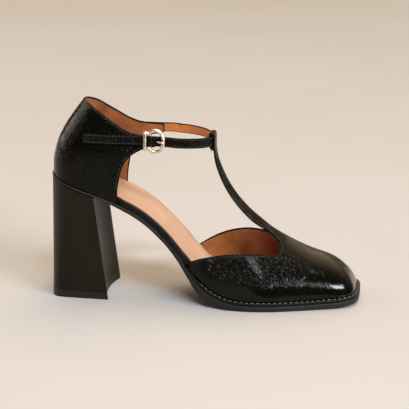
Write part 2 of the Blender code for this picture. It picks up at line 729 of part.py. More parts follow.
def main():
    for obj in list(bpy.data.objects):
        bpy.data.objects.remove(obj)
    group = bpy.data.collections.new("t_strap_shoe")
    bpy.context.scene.collection.children.link(group)
    black = new_material("black_patent", (0.012, 0.012, 0.013), 0.25)
    matte = new_material("black_leather", (0.02, 0.018, 0.015), 0.5)
    tan = new_material("tan_sock", (0.68, 0.40, 0.24), 0.6)
    rubber = new_material("dark_sole", (0.03, 0.028, 0.025), 0.6)
    gold = new_material("pale_gold", (0.80, 0.66, 0.42), 0.25, 1.0)
    edge_black = new_material("black_edge", (0.015, 0.014, 0.012), 0.45)

    make_outsole(rubber, group)
    make_welt(edge_black, group)
    plate("insole_board", lambda x: SOCK + GAP, feather_depth, inset, edge_black, group)
    plate("insole_sock", lambda x: 0.0, lambda x: SOCK, inset, tan, group)

    shell("vamp", vamp_patches(), T_THICK, black, group)
    shell("quarter", quarter_patches(), WALL, black, group)

    centres, ups = strap_stations()
    strap = ribbon(centres, ups, STRAP_WIDTH, STRAP_THICK, "ankle_strap", black, group)
    corners = ((-0.001, -0.001), (0.008, -0.001), (0.008, 0.001), (-0.001, 0.001))
    slot = [[buckle_place(x, out, PRONG_Z + z) for out, z in corners] for x in (0.0802, 0.0872)]
    cut(strap, loft("slot", slot, black, cutter_group("ankle_strap")))
    frame = wire("buckle_frame", buckle_ring_points(), WIRE, True, gold, group)
    hinge = wire("hinge_bar", buckle_hinge_points(), 0.0008, False, gold, cutter_group("buckle_frame"))
    cut(frame, hinge, "UNION")
    wire("buckle_prong", buckle_prong_points(), PRONG, False, gold, group)

    split = TOP_PIECE / seat_z(0.03)
    gap_level = split + GAP / seat_z(0.03)
    body_levels = [gap_level, 0.28, 0.5, 0.72, 0.9, 1.0]
    body = loft("heel_block", heel_rings(TOP_PIECE + GAP, seat_z, body_levels), matte, group)
    foot = loft("heel_top_piece", heel_rings(0.0, lambda x: TOP_PIECE, [0.0, split]), rubber, group)
    for obj in (body, foot):
        cut(obj, breast_cutter(matte, cutter_group(obj.name)))


main()
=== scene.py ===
# %% [markdown]
# A right T-strap shoe in black patent leather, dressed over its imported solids. The shoe has a square toe, an
# open waist, a flared block heel and a strap with a pale gold buckle. This lesson builds each piece from the
# same curves as the solids, gives it a finish of its own, and sets it on a warm studio floor.

import math

import bmesh
import bpy
import numpy as np
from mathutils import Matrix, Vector
from mathutils.bvhtree import BVHTree
from mathutils.kdtree import KDTree


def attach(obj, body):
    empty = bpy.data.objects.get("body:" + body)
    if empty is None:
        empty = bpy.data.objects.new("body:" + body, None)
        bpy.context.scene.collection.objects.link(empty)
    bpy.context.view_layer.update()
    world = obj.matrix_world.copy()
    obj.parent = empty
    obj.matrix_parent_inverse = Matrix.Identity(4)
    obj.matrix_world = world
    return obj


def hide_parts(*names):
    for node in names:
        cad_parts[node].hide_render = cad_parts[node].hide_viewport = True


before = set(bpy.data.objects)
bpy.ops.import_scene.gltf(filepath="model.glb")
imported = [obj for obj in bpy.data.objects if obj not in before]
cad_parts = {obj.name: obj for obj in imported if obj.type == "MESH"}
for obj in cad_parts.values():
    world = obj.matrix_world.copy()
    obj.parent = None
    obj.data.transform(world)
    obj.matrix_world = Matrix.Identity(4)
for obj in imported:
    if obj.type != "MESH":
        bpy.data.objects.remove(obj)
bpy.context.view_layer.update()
print("solids:", ", ".join(sorted(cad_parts)))

# %% [markdown]
# All sizes are in metres. The tables count x from the back of the heel seat. The shoe's own origin is the
# middle of the heel's foot, so every finished piece moves back by TREAD_X. Every layer hangs from one curve,
# the bottom of the last.

# %% Sizes and tables
LENGTH = 0.236  # heel seat to the tip of the upper's toe
GAP = 0.0003  # between pieces that touch
SOCK = 0.0012
WELT = 0.0020
WELT_INSIDE = 0.0065  # how far the welt reaches in under the upper
WALL = 0.0016  # upper leather with its lining
STRAP_WIDTH = 0.0076
STRAP_THICK = 0.0016
T_THICK = 0.0015
TOP_PIECE = 0.0060
WIRE = 0.0013  # radius of the buckle's wire
LATERAL, MEDIAL = SIDES = -1, 1

TREAD_X = 0.0217  # middle of the heel's flat foot, the origin of the finished shoe

# Plan of the feather line, where the upper meets the sole: half widths each side of the axis
PLAN = {
    "x": (
        0.000, 0.026, 0.040, 0.055, 0.070, 0.085, 0.100, 0.112,
        0.125, 0.140, 0.155, 0.170, 0.185, 0.200, 0.215, 0.236,
    ),
    LATERAL: (
        0.0260, 0.0260, 0.0265, 0.0258, 0.0245, 0.0240, 0.0258, 0.0300,
        0.0352, 0.0385, 0.0392, 0.0378, 0.0345, 0.0305, 0.0268, 0.0225,
    ),
    MEDIAL: (
        0.0260, 0.0260, 0.0255, 0.0238, 0.0218, 0.0205, 0.0210, 0.0238,
        0.0285, 0.0338, 0.0372, 0.0382, 0.0370, 0.0342, 0.0308, 0.0262,
    ),
}
HEEL_ROUND, HEEL_POWER = 0.027, 2.15  # length and squareness of the rounded heel end
COLLAR_NARROWER = 0.45  # how much less square it is at the collar
TOE_ROUND, TOE_POWER = 0.026, 3.9
TOE_SLANT, SLANT_FROM = 0.050, 0.200  # the inner toe corner lies further forward

# Side view of the last's bottom
BOTTOM = {
    "x": (
        0.000, 0.015, 0.030, 0.045, 0.060, 0.075, 0.090, 0.100, 0.110,
        0.120, 0.130, 0.140, 0.152, 0.170, 0.185, 0.200, 0.220, 0.236,
    ),
    "z": (
        0.1019, 0.0963, 0.0911, 0.0860, 0.0798, 0.0706, 0.0574, 0.0464, 0.0344,
        0.0230, 0.0150, 0.0109, 0.0095, 0.0092, 0.0093, 0.0095, 0.0103, 0.0115,
    ),
}
# Thickness of each layer along the shoe
LAYERS = {
    "x": (0.000, 0.035, 0.060, 0.095, 0.105, 0.112, 0.120, 0.130, 0.140, 0.152, 0.236),
    "board": (0.0038, 0.0038, 0.0044, 0.0044, 0.0040, 0.0034, 0.0025, 0.0015, 0.0011, 0.0011, 0.0011),
    "total": (0.0072, 0.0073, 0.0090, 0.0091, 0.0102, 0.0113, 0.0115, 0.0105, 0.0099, 0.0097, 0.0095),
}
WELT_FROM, WELT_FULL = 0.106, 0.119
SOLE_GROW = {  # how far the sole's edge stands outside the feather line
    "x": (0.000, 0.035, 0.055, 0.095, 0.105, 0.115, 0.128, 0.236),
    "out": (0.0012, 0.0006, -0.0003, -0.0003, 0.0007, 0.0020, 0.0026, 0.0026),
}

# The vamp with its T-strap
VAMP_TOP_FROM, VAMP_FROM = 0.1104, 0.1085  # its back corner at the topline and at the sole
RIDGE = {  # the instep line, from the toe box up to the ankle strap
    "x": (
        0.236, 0.219, 0.2055, 0.192, 0.1802, 0.1705, 0.1629, 0.1550,
        0.1485, 0.1430, 0.1379, 0.1338, 0.1304, 0.1279, 0.1266, 0.1261,
    ),
    "z": (
        0.0290, 0.0325, 0.0368, 0.0434, 0.0496, 0.0556, 0.0616, 0.0682,
        0.0746, 0.0812, 0.0887, 0.0962, 0.1040, 0.1110, 0.1175, 0.1255,
    ),
}
SECTION = {  # how full each cross-section is, sideways and upwards: 2 is an ellipse
    "x": (0.108, 0.145, 0.168, 0.185, 0.205, 0.236),
    "side": (1.90, 1.85, 1.45, 1.60, 1.80, 1.50),
    "up": (1.95, 1.90, 1.60, 1.75, 1.85, 1.50),
}
SPINE_FROM, SPINE_REACH = 0.190, 0.0165  # where the sections start to fan round the toe
WING_TOP = {
    "x": (0.1104, 0.118, 0.126, 0.134, 0.142, 0.150, 0.160, 0.170),
    LATERAL: (0.0346, 0.0378, 0.0403, 0.0420, 0.0428, 0.0426, 0.0414, 0.0394),
    MEDIAL: (0.0328, 0.0372, 0.0409, 0.0436, 0.0454, 0.0465, 0.0473, 0.0474),
}
THROAT_BACK, THROAT_FRONT, THROAT_INNER = 0.170, 0.1772, 0.0083
T_STRAP = {
    "z": (0.0550, 0.0610, 0.0680, 0.0760, 0.0900, 0.1050, 0.1180),
    "half": (0.0083, 0.0076, 0.0072, 0.0068, 0.0062, 0.0058, 0.0056),
    "crown": (0.0046, 0.0048, 0.0046, 0.0042, 0.0036, 0.0026, 0.0016),
}
LOOP_FROM = 0.1180

# The quarter
QUARTER_END = 0.0535  # where it stops at the waist
HEEL_CURVE = {
    "z": (0.094, 0.106, 0.120, 0.132, 0.142, 0.1545),
    "x": (-0.0004, 0.0000, 0.0032, 0.0088, 0.0155, 0.0250),
}
QUARTER_LEAN = {
    "z": (0.075, 0.100, 0.115, 0.128, 0.137, 0.147, 0.1545),
    "in": (0.0, 0.0, 0.035, 0.125, 0.21, 0.34, 0.43),
}
COLLAR = {
    "x": (0.0250, 0.032, 0.040, 0.049, 0.0575, 0.065, 0.073, 0.084),
    LATERAL: (0.1545, 0.1514, 0.1466, 0.1405, 0.1350, 0.1316, 0.1301, 0.1292),
    MEDIAL: (0.1545, 0.1505, 0.1454, 0.1400, 0.1354, 0.1329, 0.1321, 0.1316),
}
FRONT_EDGE = {
    "up": (0.0, 0.16, 0.39, 0.57, 0.70, 0.77, 0.83, 0.865, 1.0),
    LATERAL: (0.0, 0.0, 0.06, 0.16, 0.32, 0.48, 0.72, 1.0, 1.0),
    MEDIAL: (0.0, 0.0, 0.05, 0.13, 0.28, 0.44, 0.68, 1.0, 1.0),
}
TAB_END = 0.0838

# The ankle strap in plan, from the outer tab round the front of the ankle to the inner tab
STRAP_PLAN = {
    "x": (0.098, 0.1065, 0.1145, 0.1205, 0.1236, 0.1238, 0.1215, 0.1150, 0.1060, 0.096),
    "y": (-0.0231, -0.0219, -0.0182, -0.0119, -0.0040, 0.0040, 0.0112, 0.0165, 0.0193, 0.0200),
}
STRAP_MIDDLE = {
    "along": (0.0, 0.20, 0.24, 0.30, 0.38, 0.50, 0.62, 0.70, 0.80, 1.0),
    "z": (0.1270, 0.1261, 0.1259, 0.1252, 0.1246, 0.1236, 0.1238, 0.1255, 0.1273, 0.1279),
}
STRAP_TILT = math.radians(10)
STRAP_TIP, STRAP_LAP = 0.0275, 0.0700
BUCKLE_BAR, BUCKLE_HINGE, BUCKLE_RING, BUCKLE_Z = 0.0752, 0.0792, 0.0893, 0.1266
PRONG_Z, PRONG = 0.1262, 0.0007
FRAME_OUT = 0.0039  # the buckle's plane, outside the tab's face
STRAP_OUT = {  # the strap's middle outside the tab's face: over the hinge bar, under the ring
    "x": (0.027, 0.0735, 0.0757, 0.0792, 0.0830, 0.0875, 0.0915, 0.098),
    "out": (0.0012, 0.0012, 0.0013, 0.0031, 0.0027, 0.0014, 0.0012, 0.0012),
}

# The heel
BREAST_FOOT, BREAST_SEAT = 0.0452, 0.0354  # x of its front face on the floor and under the seat
HEEL_BACK = -0.0018
HEEL_FOOT = {"x": (0.0, 0.020, 0.048), "half": (0.0232, 0.0252, 0.0270)}
FOOT_ROUND, FOOT_POWER = 0.011, 3.0
BREAST_HOLLOW = 0.0045
SEAT_OUT = 0.0010  # how far the heel stands outside the feather line under the seat

print(f"upper {LENGTH * 1000:.0f} mm long, strap {STRAP_WIDTH * 1000:.1f} mm wide")

# %% [markdown]
# Every table becomes a smooth function. Cubic pieces join its rows, and their slopes are held back so that
# the curve never swings past a row. This is what keeps the feather line and the instep fair.

# %% Curves through the tables
def steps(first, last, count):
    return [first + (last - first) * i / (count - 1) for i in range(count)]


def curve(table, key, column):
    """A smooth function through two columns of a table, with no overshoot between its rows."""
    xs, ys = np.array(table[key]), np.array(table[column])
    if xs[0] > xs[-1]:
        xs, ys = xs[::-1], ys[::-1]
    run, rise = np.diff(xs), np.diff(ys)
    slopes = rise / run
    tangents = np.zeros(len(xs))
    tangents[0], tangents[-1] = slopes[0], slopes[-1]
    for i in range(1, len(xs) - 1):
        if slopes[i - 1] * slopes[i] > 0:
            a, b = 2 * run[i] + run[i - 1], run[i] + 2 * run[i - 1]
            tangents[i] = (a + b) / (a / slopes[i - 1] + b / slopes[i])

    def value(x):
        x = min(max(x, xs[0]), xs[-1])
        i = min(int(np.searchsorted(xs, x, side="right")) - 1, len(run) - 1)
        t = (x - xs[i]) / run[i]
        return float(
            ys[i] * (1 + 2 * t) * (1 - t) ** 2
            + ys[i + 1] * t * t * (3 - 2 * t)
            + run[i] * (tangents[i] * t * (1 - t) ** 2 + tangents[i + 1] * t * t * (t - 1))
        )

    return value


def both_sides(table, key):
    return {side: curve(table, key, side) for side in SIDES}


half_width, wing_top_z = both_sides(PLAN, "x"), both_sides(WING_TOP, "x")
collar_z, front_edge = both_sides(COLLAR, "x"), both_sides(FRONT_EDGE, "up")
bottom_z = curve(BOTTOM, "x", "z")
board_at = curve(LAYERS, "x", "board")
total_at = curve(LAYERS, "x", "total")
sole_grow = curve(SOLE_GROW, "x", "out")
ridge_z, ridge_x = curve(RIDGE, "x", "z"), curve(RIDGE, "z", "x")
section_side, section_up = curve(SECTION, "x", "side"), curve(SECTION, "x", "up")
t_half, t_crown = curve(T_STRAP, "z", "half"), curve(T_STRAP, "z", "crown")
heel_back_x = curve(HEEL_CURVE, "z", "x")
quarter_lean = curve(QUARTER_LEAN, "z", "in")
strap_middle_z = curve(STRAP_MIDDLE, "along", "z")
strap_out = curve(STRAP_OUT, "x", "out")
foot_half = curve(HEEL_FOOT, "x", "half")
BALL_X = 0.160
print(f"last bottom: {bottom_z(0) * 1000:.1f} mm at the heel, {bottom_z(BALL_X) * 1000:.1f} mm at the ball")

# %% [markdown]
# A place on the shoe is a station along the outline, a side and a share of the height. The functions below
# turn those into points: the feather line in plan, the depth of each layer under the last, the faces of the
# vamp and the quarter, and the path of the ankle strap round the front of the ankle.

# %% Outline, layers and faces
def ramp(x, start, end):
    t = min(max((x - start) / (end - start), 0.0), 1.0)
    return t * t * (3 - 2 * t)


def mix(a, b, t):
    return a + (b - a) * t


HEEL_SHARE, TOE_SHARE = 0.16, 0.80  # stations where the rounded ends stop and start


def station(a):
    """Station a of the outline, 0 at the heel's back to 1 at the toe: its x and its share of the width."""
    if a < HEEL_SHARE:
        angle = a / HEEL_SHARE * math.pi / 2
        return HEEL_ROUND * (1 - math.cos(angle) ** (2 / HEEL_POWER)), math.sin(angle) ** (2 / HEEL_POWER)
    if a > TOE_SHARE:
        angle = (1 - a) / (1 - TOE_SHARE) * math.pi / 2
        share = math.sin(angle) ** (2 / TOE_POWER)
        return LENGTH - TOE_ROUND * (1 - math.cos(angle) ** (2 / TOE_POWER)), share
    return mix(HEEL_ROUND, LENGTH - TOE_ROUND, (a - HEEL_SHARE) / (TOE_SHARE - HEEL_SHARE)), 1.0


def station_of(x):
    """The station of a place between the rounded ends."""
    return mix(HEEL_SHARE, TOE_SHARE, (x - HEEL_ROUND) / (LENGTH - TOE_ROUND - HEEL_ROUND))


def edge(side, a):
    x, share = station(a)
    y = side * half_width[side](x) * share
    return np.array([x + TOE_SLANT * y * ramp(x, SLANT_FROM, LENGTH), y])


def outline(side, a, grow=0.0):
    """A point of the feather line in plan, moved outwards by grow."""
    step = 0.002
    before = edge(side, a - step) if a >= step else edge(-side, step - a)
    after = edge(side, a + step) if a <= 1 - step else edge(-side, 2 - step - a)
    along = (after - before) / np.linalg.norm(after - before)
    outward = np.array([-along[1], along[0]]) * side
    return edge(side, a) + outward * grow


def under(x, depth):
    """Height of the face straight below x of a layer that is depth thick, square to the last's bottom."""
    slope = (bottom_z(x + 0.0005) - bottom_z(x - 0.0005)) / 0.001
    return bottom_z(x) - depth * math.hypot(1.0, slope)


def feather_depth(x):
    """Depth of the board's underside, where the upper's edge stands."""
    return SOCK + GAP + board_at(x)


def welt_at(x):
    return WELT * (0.4 + 0.6 * ramp(x, WELT_FROM, WELT_FULL))


def outsole_top(x):
    under_welt = (welt_at(x) + GAP) * ramp(x, WELT_FROM - 0.0025, WELT_FROM - 0.0005)
    return feather_depth(x) + GAP + under_welt


def feather_z(x):
    return under(x, feather_depth(x))


def inset(x):
    """The board and sock stand inside the upper's wall, and reach its outer face where it is cut away."""
    open_waist = ramp(x, QUARTER_END + 0.0005, QUARTER_END + 0.005)
    open_waist *= 1 - ramp(x, VAMP_FROM - 0.006, VAMP_FROM - 0.001)
    return -(WALL + GAP + 0.0004 + 0.0003 * ramp(x, 0.2, 0.23)) * (1 - open_waist)


def section(side, a, up):
    """The vamp's outer face at station a, from the feather line at up 0 to the instep at up 1."""
    foot = edge(side, a)
    x = station(a)[0]
    spine = x
    if x > SPINE_FROM:
        spine = SPINE_FROM + SPINE_REACH * (1 - math.exp((SPINE_FROM - x) / SPINE_REACH))
    angle = up * math.pi / 2
    out = max(math.cos(angle), 0.0) ** (2 / section_side(x))
    rise = math.sin(angle) ** (2 / section_up(x))
    base = feather_z(foot[0])
    return np.array([mix(spine, foot[0], out), foot[1] * out, mix(base, ridge_z(spine), rise)])


def up_of_y(side, x, y):
    """The place on the section at x that lies y from the axis."""
    return math.acos(min(y / half_width[side](x), 1.0) ** (section_side(x) / 2)) / (math.pi / 2)


def up_of_z(x, z):
    base = feather_z(x)
    rise = (z - base) / (ridge_z(x) - base)
    return math.asin(rise ** (section_up(x) / 2)) / (math.pi / 2)


def quarter_face(side, x, z):
    """Half width of the quarter's outer face at a place in side view."""
    back = heel_back_x(z)
    flat = x if x > QUARTER_END else (x - back) / (1 - back / QUARTER_END)
    share, power = 1.0, HEEL_POWER - COLLAR_NARROWER * ramp(z, 0.122, 0.1545)
    if flat < HEEL_ROUND:
        share = (1 - (1 - max(flat, 0.0) / HEEL_ROUND) ** power) ** (1 / power)
    return side * half_width[side](flat) * share * (1 - quarter_lean(z))


def strap_path(t):
    """The ankle strap's middle in plan, t from 0 at the outer tab to 1 at the inner tab."""
    xs, ys = STRAP_PLAN["x"], STRAP_PLAN["y"]
    place = min(max(t, 0.0), 1.0) * (len(xs) - 1)
    i = min(int(place), len(xs) - 2)
    f = place - i
    found = []
    for row in (xs, ys):
        p0, p1, p2, p3 = row[max(i - 1, 0)], row[i], row[i + 1], row[min(i + 2, len(row) - 1)]
        bend, twist = 2 * p0 - 5 * p1 + 4 * p2 - p3, 3 * p1 - p0 - 3 * p2 + p3
        found.append(0.5 * (2 * p1 + (p2 - p0) * f + bend * f * f + twist * f**3))
    return np.array(found)


def strap_outward(t):
    along = strap_path(min(t + 0.01, 1.0)) - strap_path(max(t - 0.01, 0.0))
    along /= np.linalg.norm(along)
    return np.array([along[1], -along[0]])


def strap_front(y):
    """The front of the ankle strap at y: its middle and its outward direction in plan."""
    low, high = 0.2, 0.8
    for _ in range(40):
        middle = (low + high) / 2
        low, high = (middle, high) if strap_path(middle)[1] < y else (low, middle)
    return strap_path(low), strap_outward(low)


print(f"width at the ball: {sum(half_width[side](BALL_X) for side in SIDES) * 1000:.1f} mm")

# %% [markdown]
# The upper's faces are grids of points. The grids are the solids' own, only FINE times finer, so the dressed
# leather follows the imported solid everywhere.

# %% Grids for the vamp
FINE = 4
CLIMB = 13 * FINE  # rows of the T-strap before its end folds over the ankle strap


def vamp_patches():
    """Grids of points over the vamp's outer face: toe, wings and T-strap, for each side."""
    wings, opening, strap = 4 * FINE, 7 * FINE, 2 * FINE
    toe_rows, wing_rows = 13 * FINE, 9 * FINE
    patches = []
    for side in SIDES:
        wing_up = up_of_z(THROAT_BACK, wing_top_z[side](THROAT_BACK))
        wing_y = abs(section(side, station_of(THROAT_BACK), wing_up)[1])
        throat = [(THROAT_BACK, wing_up * k / wings) for k in range(wings)]
        for k in range(opening + 1):
            turn = math.pi * k / opening
            x = mix(THROAT_BACK, THROAT_FRONT, math.sin(turn))
            throat.append((x, up_of_y(side, x, mix(wing_y, THROAT_INNER, (1 - math.cos(turn)) / 2))))
        for k in range(1, strap + 1):
            throat.append((THROAT_BACK, up_of_y(side, THROAT_BACK, THROAT_INNER * (1 - k / strap))))
        toe = []
        for i in range(toe_rows + 1):
            share = i / toe_rows
            row = []
            for k, (x, up) in enumerate(throat):
                even = k / (len(throat) - 1)
                row.append(section(side, mix(station_of(x), 1.0, share), mix(up, even, share)))
            toe.append(row)
        patches.append(toe)
        wing = []
        for i in range(wing_rows + 1):
            share = i / wing_rows
            row = []
            for k in range(wings + 1):
                back = mix(VAMP_FROM, VAMP_TOP_FROM, k / wings)
                x = mix(THROAT_BACK, back, share)
                row.append(section(side, station_of(x), up_of_z(x, wing_top_z[side](x)) * k / wings))
            wing.append(row)
        patches.append(wing)
        patches.append(t_strap_patch(side, strap))
    return patches


def t_strap_patch(side, columns):
    """The T-strap up the instep, and its end folded over the ankle strap and down behind it."""
    out = STRAP_THICK / 2 + GAP + T_THICK
    crest = strap_middle_z(0.55) + STRAP_WIDTH / 2 - GAP / 3
    path = [(0.0, z) for z in steps(ridge_z(THROAT_BACK), LOOP_FROM, CLIMB)]
    path += [(out, mix(LOOP_FROM, crest, f)) for f in steps(0, 1, 4 * FINE)[1:]]
    for turn in steps(0, math.pi, 7 * FINE)[1:]:
        path.append((out * math.cos(turn), crest + out * math.sin(turn)))
    tail = out - T_THICK - GAP - T_THICK
    path += [(-out, 0.1195), (mix(-out, tail, 0.5), 0.1176), (tail, 0.1164), (tail, 0.1156)]
    shares = [1 - k / columns for k in range(columns + 1)]
    return [
        [t_strap_point(side, share, offset, z, out, place >= CLIMB) for share in shares]
        for place, (offset, z) in enumerate(path)
    ]


def t_strap_point(side, share, offset, z, out, folded):
    base = ridge_z(THROAT_BACK)
    if folded:
        middle, outward = strap_front(side * share * t_half(LOOP_FROM))
        middle = middle + outward * offset
        lean = ridge_x(z) - ridge_x(LOOP_FROM) if z < LOOP_FROM else 0.0
        return np.array([middle[0] + lean, middle[1], z])
    x = ridge_x(z)
    y = THROAT_INNER * share if z - base < 1e-6 else t_half(z) * share
    tilt = (ridge_x(z + 0.0005) - ridge_x(z - 0.0005)) / 0.001
    length = math.hypot(1.0, tilt)
    loose = ramp(z, base, base + 0.010)
    throat_up = up_of_y(side, THROAT_BACK, THROAT_INNER * share)
    vamp_drop = base - section(side, station_of(THROAT_BACK), throat_up)[2]
    drop = mix(vamp_drop, t_crown(z) * share**1.6, loose)
    point = np.array([x - drop * loose / length, side * y, z - drop * mix(1.0, -tilt / length, loose)])
    near = ramp(z, LOOP_FROM - 0.014, LOOP_FROM)
    if near == 0:
        return point
    middle, outward = strap_front(side * share * t_half(LOOP_FROM))
    middle = middle + outward * out
    return mix(point, np.array([middle[0] + x - ridge_x(LOOP_FROM), middle[1], z]), near)

# %% [markdown]
# The quarter's columns start at the heel's back and run round to its front edge, which reaches forward into a
# tab on each side. The ankle strap starts flat on the outer tab and ends flat on the inner one.

# %% Grids for the quarter and the ankle strap
QUARTER_BACK = 0.55  # share of the quarter's columns that go round the heel
STRAP_FINE = 3
TAB_OVER, TAB_INNER = 0.0945, 0.092  # where the strap leaves the outer tab and comes onto the inner one


def quarter_point(side, along, up):
    """The quarter's outer face: along from the heel's back to its front edge, up from sole to collar."""
    front = mix(QUARTER_END, TAB_END, front_edge[side](up))
    foot = mix(HEEL_ROUND, QUARTER_END, (along - QUARTER_BACK) / (1 - QUARTER_BACK))
    if along < QUARTER_BACK:
        foot = station(HEEL_SHARE * along / QUARTER_BACK)[0]
    reach = ramp(along, 0.30, 1.0)
    low = feather_z(min(foot, QUARTER_END))
    z = 0.12
    for _ in range(30):
        x_top = heel_back_x(z) + foot * (1 - heel_back_x(z) / QUARTER_END)
        x_top += (TAB_END - QUARTER_END) * reach
        z = collar_z[side](x_top)
    height = mix(low, z, up)
    x = heel_back_x(height) + foot * (1 - heel_back_x(height) / QUARTER_END)
    x += (front - QUARTER_END) * reach
    if along == 0:
        return np.array([heel_back_x(height), 0.0, height])
    return np.array([x, quarter_face(side, x, height), height])


def quarter_patches():
    rows, columns = 12 * FINE, 18 * FINE
    return [
        [[quarter_point(side, i / columns, k / rows) for k in range(rows + 1)] for i in range(columns + 1)]
        for side in SIDES
    ]


def strap_stations():
    """Middles and upward directions of the ankle strap, from its free tip to its lap on the inner tab."""
    rows = [(LATERAL, x) for x in steps(STRAP_TIP, TAB_OVER, 26 * STRAP_FINE)]
    rows += [(None, t) for t in steps(0.0, 1.0, 34 * STRAP_FINE)]
    rows += [(MEDIAL, x) for x in steps(TAB_INNER, STRAP_LAP, 8 * STRAP_FINE)]
    centres, ups = [], []
    for side, place in rows:
        if side is None:
            x, y = strap_path(place)
            outward = strap_outward(place)
            tilt = STRAP_TILT * ramp(abs(y), 0.0060, 0.0160)
            centres.append(np.array([x, y, strap_middle_z(0.3 + 0.5 * place)]))
            ups.append(np.array([*-outward * math.sin(tilt), math.cos(tilt)]))
            continue
        free = (place - STRAP_TIP) / (STRAP_PLAN["x"][0] - STRAP_TIP)
        z = strap_middle_z(0.3 * free if side == LATERAL else 1.0)
        rise = 0.001
        lean = (quarter_face(side, place, z + rise) - quarter_face(side, place, z - rise)) / (2 * rise)
        out = strap_out(place) if side == LATERAL else STRAP_THICK / 2 + GAP + 0.0001
        up = np.array([0.0, lean, 1.0]) / math.hypot(lean, 1.0)
        face = np.array([place, quarter_face(side, place, z), z])
        turn = quarter_face(side, place + 0.001, z) - quarter_face(side, place - 0.001, z)
        along = np.array([0.002, turn, 0.0])
        outward = np.cross(along, up) * -side
        outward /= np.linalg.norm(outward)
        if outward[1] * side < 0:
            outward = -outward
        centres.append(face + outward * out)
        ups.append(up)
    return centres, ups


print("stations of the ankle strap:", len(strap_stations()[0]))

# %% [markdown]
# The buckle is three wires: a horseshoe ring with a straight bar, a hinge bar between its sides, and the
# prong. The heel's outline changes from its foot on the floor to its seat under the shoe.

# %% Buckle wires and heel outline
RING_STEPS = 64
HEEL_ROUNDS_TO = 0.8  # share of each half of the heel's outline before its straight flank


def buckle_place(x, out, z):
    """A place near the buckle: out is measured square to the strap's side, from the outer tab's face."""
    face = quarter_face(LATERAL, x, z)
    return np.array([x, face - out, z])


def buckle_ring_points():
    """A horseshoe ring whose ends close on the straight bar at the back."""
    middle = (BUCKLE_BAR + BUCKLE_RING) / 2 + 0.0009
    radius_x, radius_z = BUCKLE_RING - middle, 0.0079
    points = []
    for turn in steps(-0.78 * math.pi, 0.78 * math.pi, RING_STEPS):
        points.append((middle + radius_x * math.cos(turn), FRAME_OUT, BUCKLE_Z + radius_z * math.sin(turn)))
    points += [(BUCKLE_BAR, FRAME_OUT, BUCKLE_Z + z) for z in (0.0062, 0.0032, 0.0, -0.0032, -0.0062)]
    return [buckle_place(*p) for p in points]


def buckle_hinge_points():
    """The bar between the ring's sides, bent in to pass under the strap."""
    half = ((0.0060, FRAME_OUT), (0.0056, 0.0032), (0.0051, 0.0018), (0.0046, 0.0012))
    path = list(half) + [(0.0, 0.0012)] + [(-z, out) for z, out in half[::-1]]
    return [buckle_place(BUCKLE_HINGE, out, BUCKLE_Z + z) for z, out in path]


def buckle_prong_points():
    """From under the strap at the hinge, out through the strap, to rest on the ring."""
    path = [(0.0806, 0.0012), (0.0822, 0.0016), (0.0840, 0.0029), (0.0855, 0.0047)]
    path += [(0.0868, 0.0060), (0.0882, 0.0064), (0.0899, 0.0062)]
    return [buckle_place(x, out, PRONG_Z) for x, out in path]


def heel_point(side, along, level):
    """The heel's outer face: along from its back to the breast, level 0 on the floor, 1 under the seat."""
    if along < HEEL_ROUNDS_TO:
        angle = along / HEEL_ROUNDS_TO * math.pi / 2
        foot_x = FOOT_ROUND * (1 - math.cos(angle) ** (2 / FOOT_POWER))
        foot_share = math.sin(angle) ** (2 / FOOT_POWER)
        seat_a = HEEL_SHARE * along / HEEL_ROUNDS_TO
    else:
        flank = (along - HEEL_ROUNDS_TO) / (1 - HEEL_ROUNDS_TO)
        foot_x, foot_share = mix(FOOT_ROUND, BREAST_FOOT - HEEL_BACK, flank), 1.0
        seat_a = mix(HEEL_SHARE, station_of(BREAST_SEAT), flank)
    foot = np.array([HEEL_BACK + foot_x, side * foot_half(foot_x) * foot_share])
    return mix(foot, outline(side, seat_a, SEAT_OUT), level)


def seat_z(x):
    return under(x, total_at(x)) - GAP


print(f"heel: {seat_z(0) * 1000:.1f} mm high at the back, {seat_z(BREAST_SEAT) * 1000:.1f} mm at the breast")

# %% [markdown]
# Shader maths reads best as plain Python. The small class below wraps one socket, and an expression such
# as 1 - mask * 0.5 adds its Math nodes. Everything else goes through one method, Finish.node, which takes a
# node's type, its settings and what feeds its sockets. A number that is the same all over a surface is set
# on the shader's own socket and has no node.

# %% Values and finishes
class Value:
    """An output socket that can be used in sums. Each sum adds a Math node to the finish's tree."""

    def __init__(self, finish, socket):
        self.finish, self.socket = finish, socket

    def sum(self, operation, first, second):
        return self.finish.node("Math", {"operation": operation}, {0: first, 1: second})

    def __add__(self, other):
        return self.sum("ADD", self, other)

    def __sub__(self, other):
        return self.sum("SUBTRACT", self, other)

    def __rsub__(self, other):
        return self.sum("SUBTRACT", other, self)

    def __mul__(self, other):
        return self.sum("MULTIPLY", self, other)

    __radd__, __rmul__ = __add__, __mul__


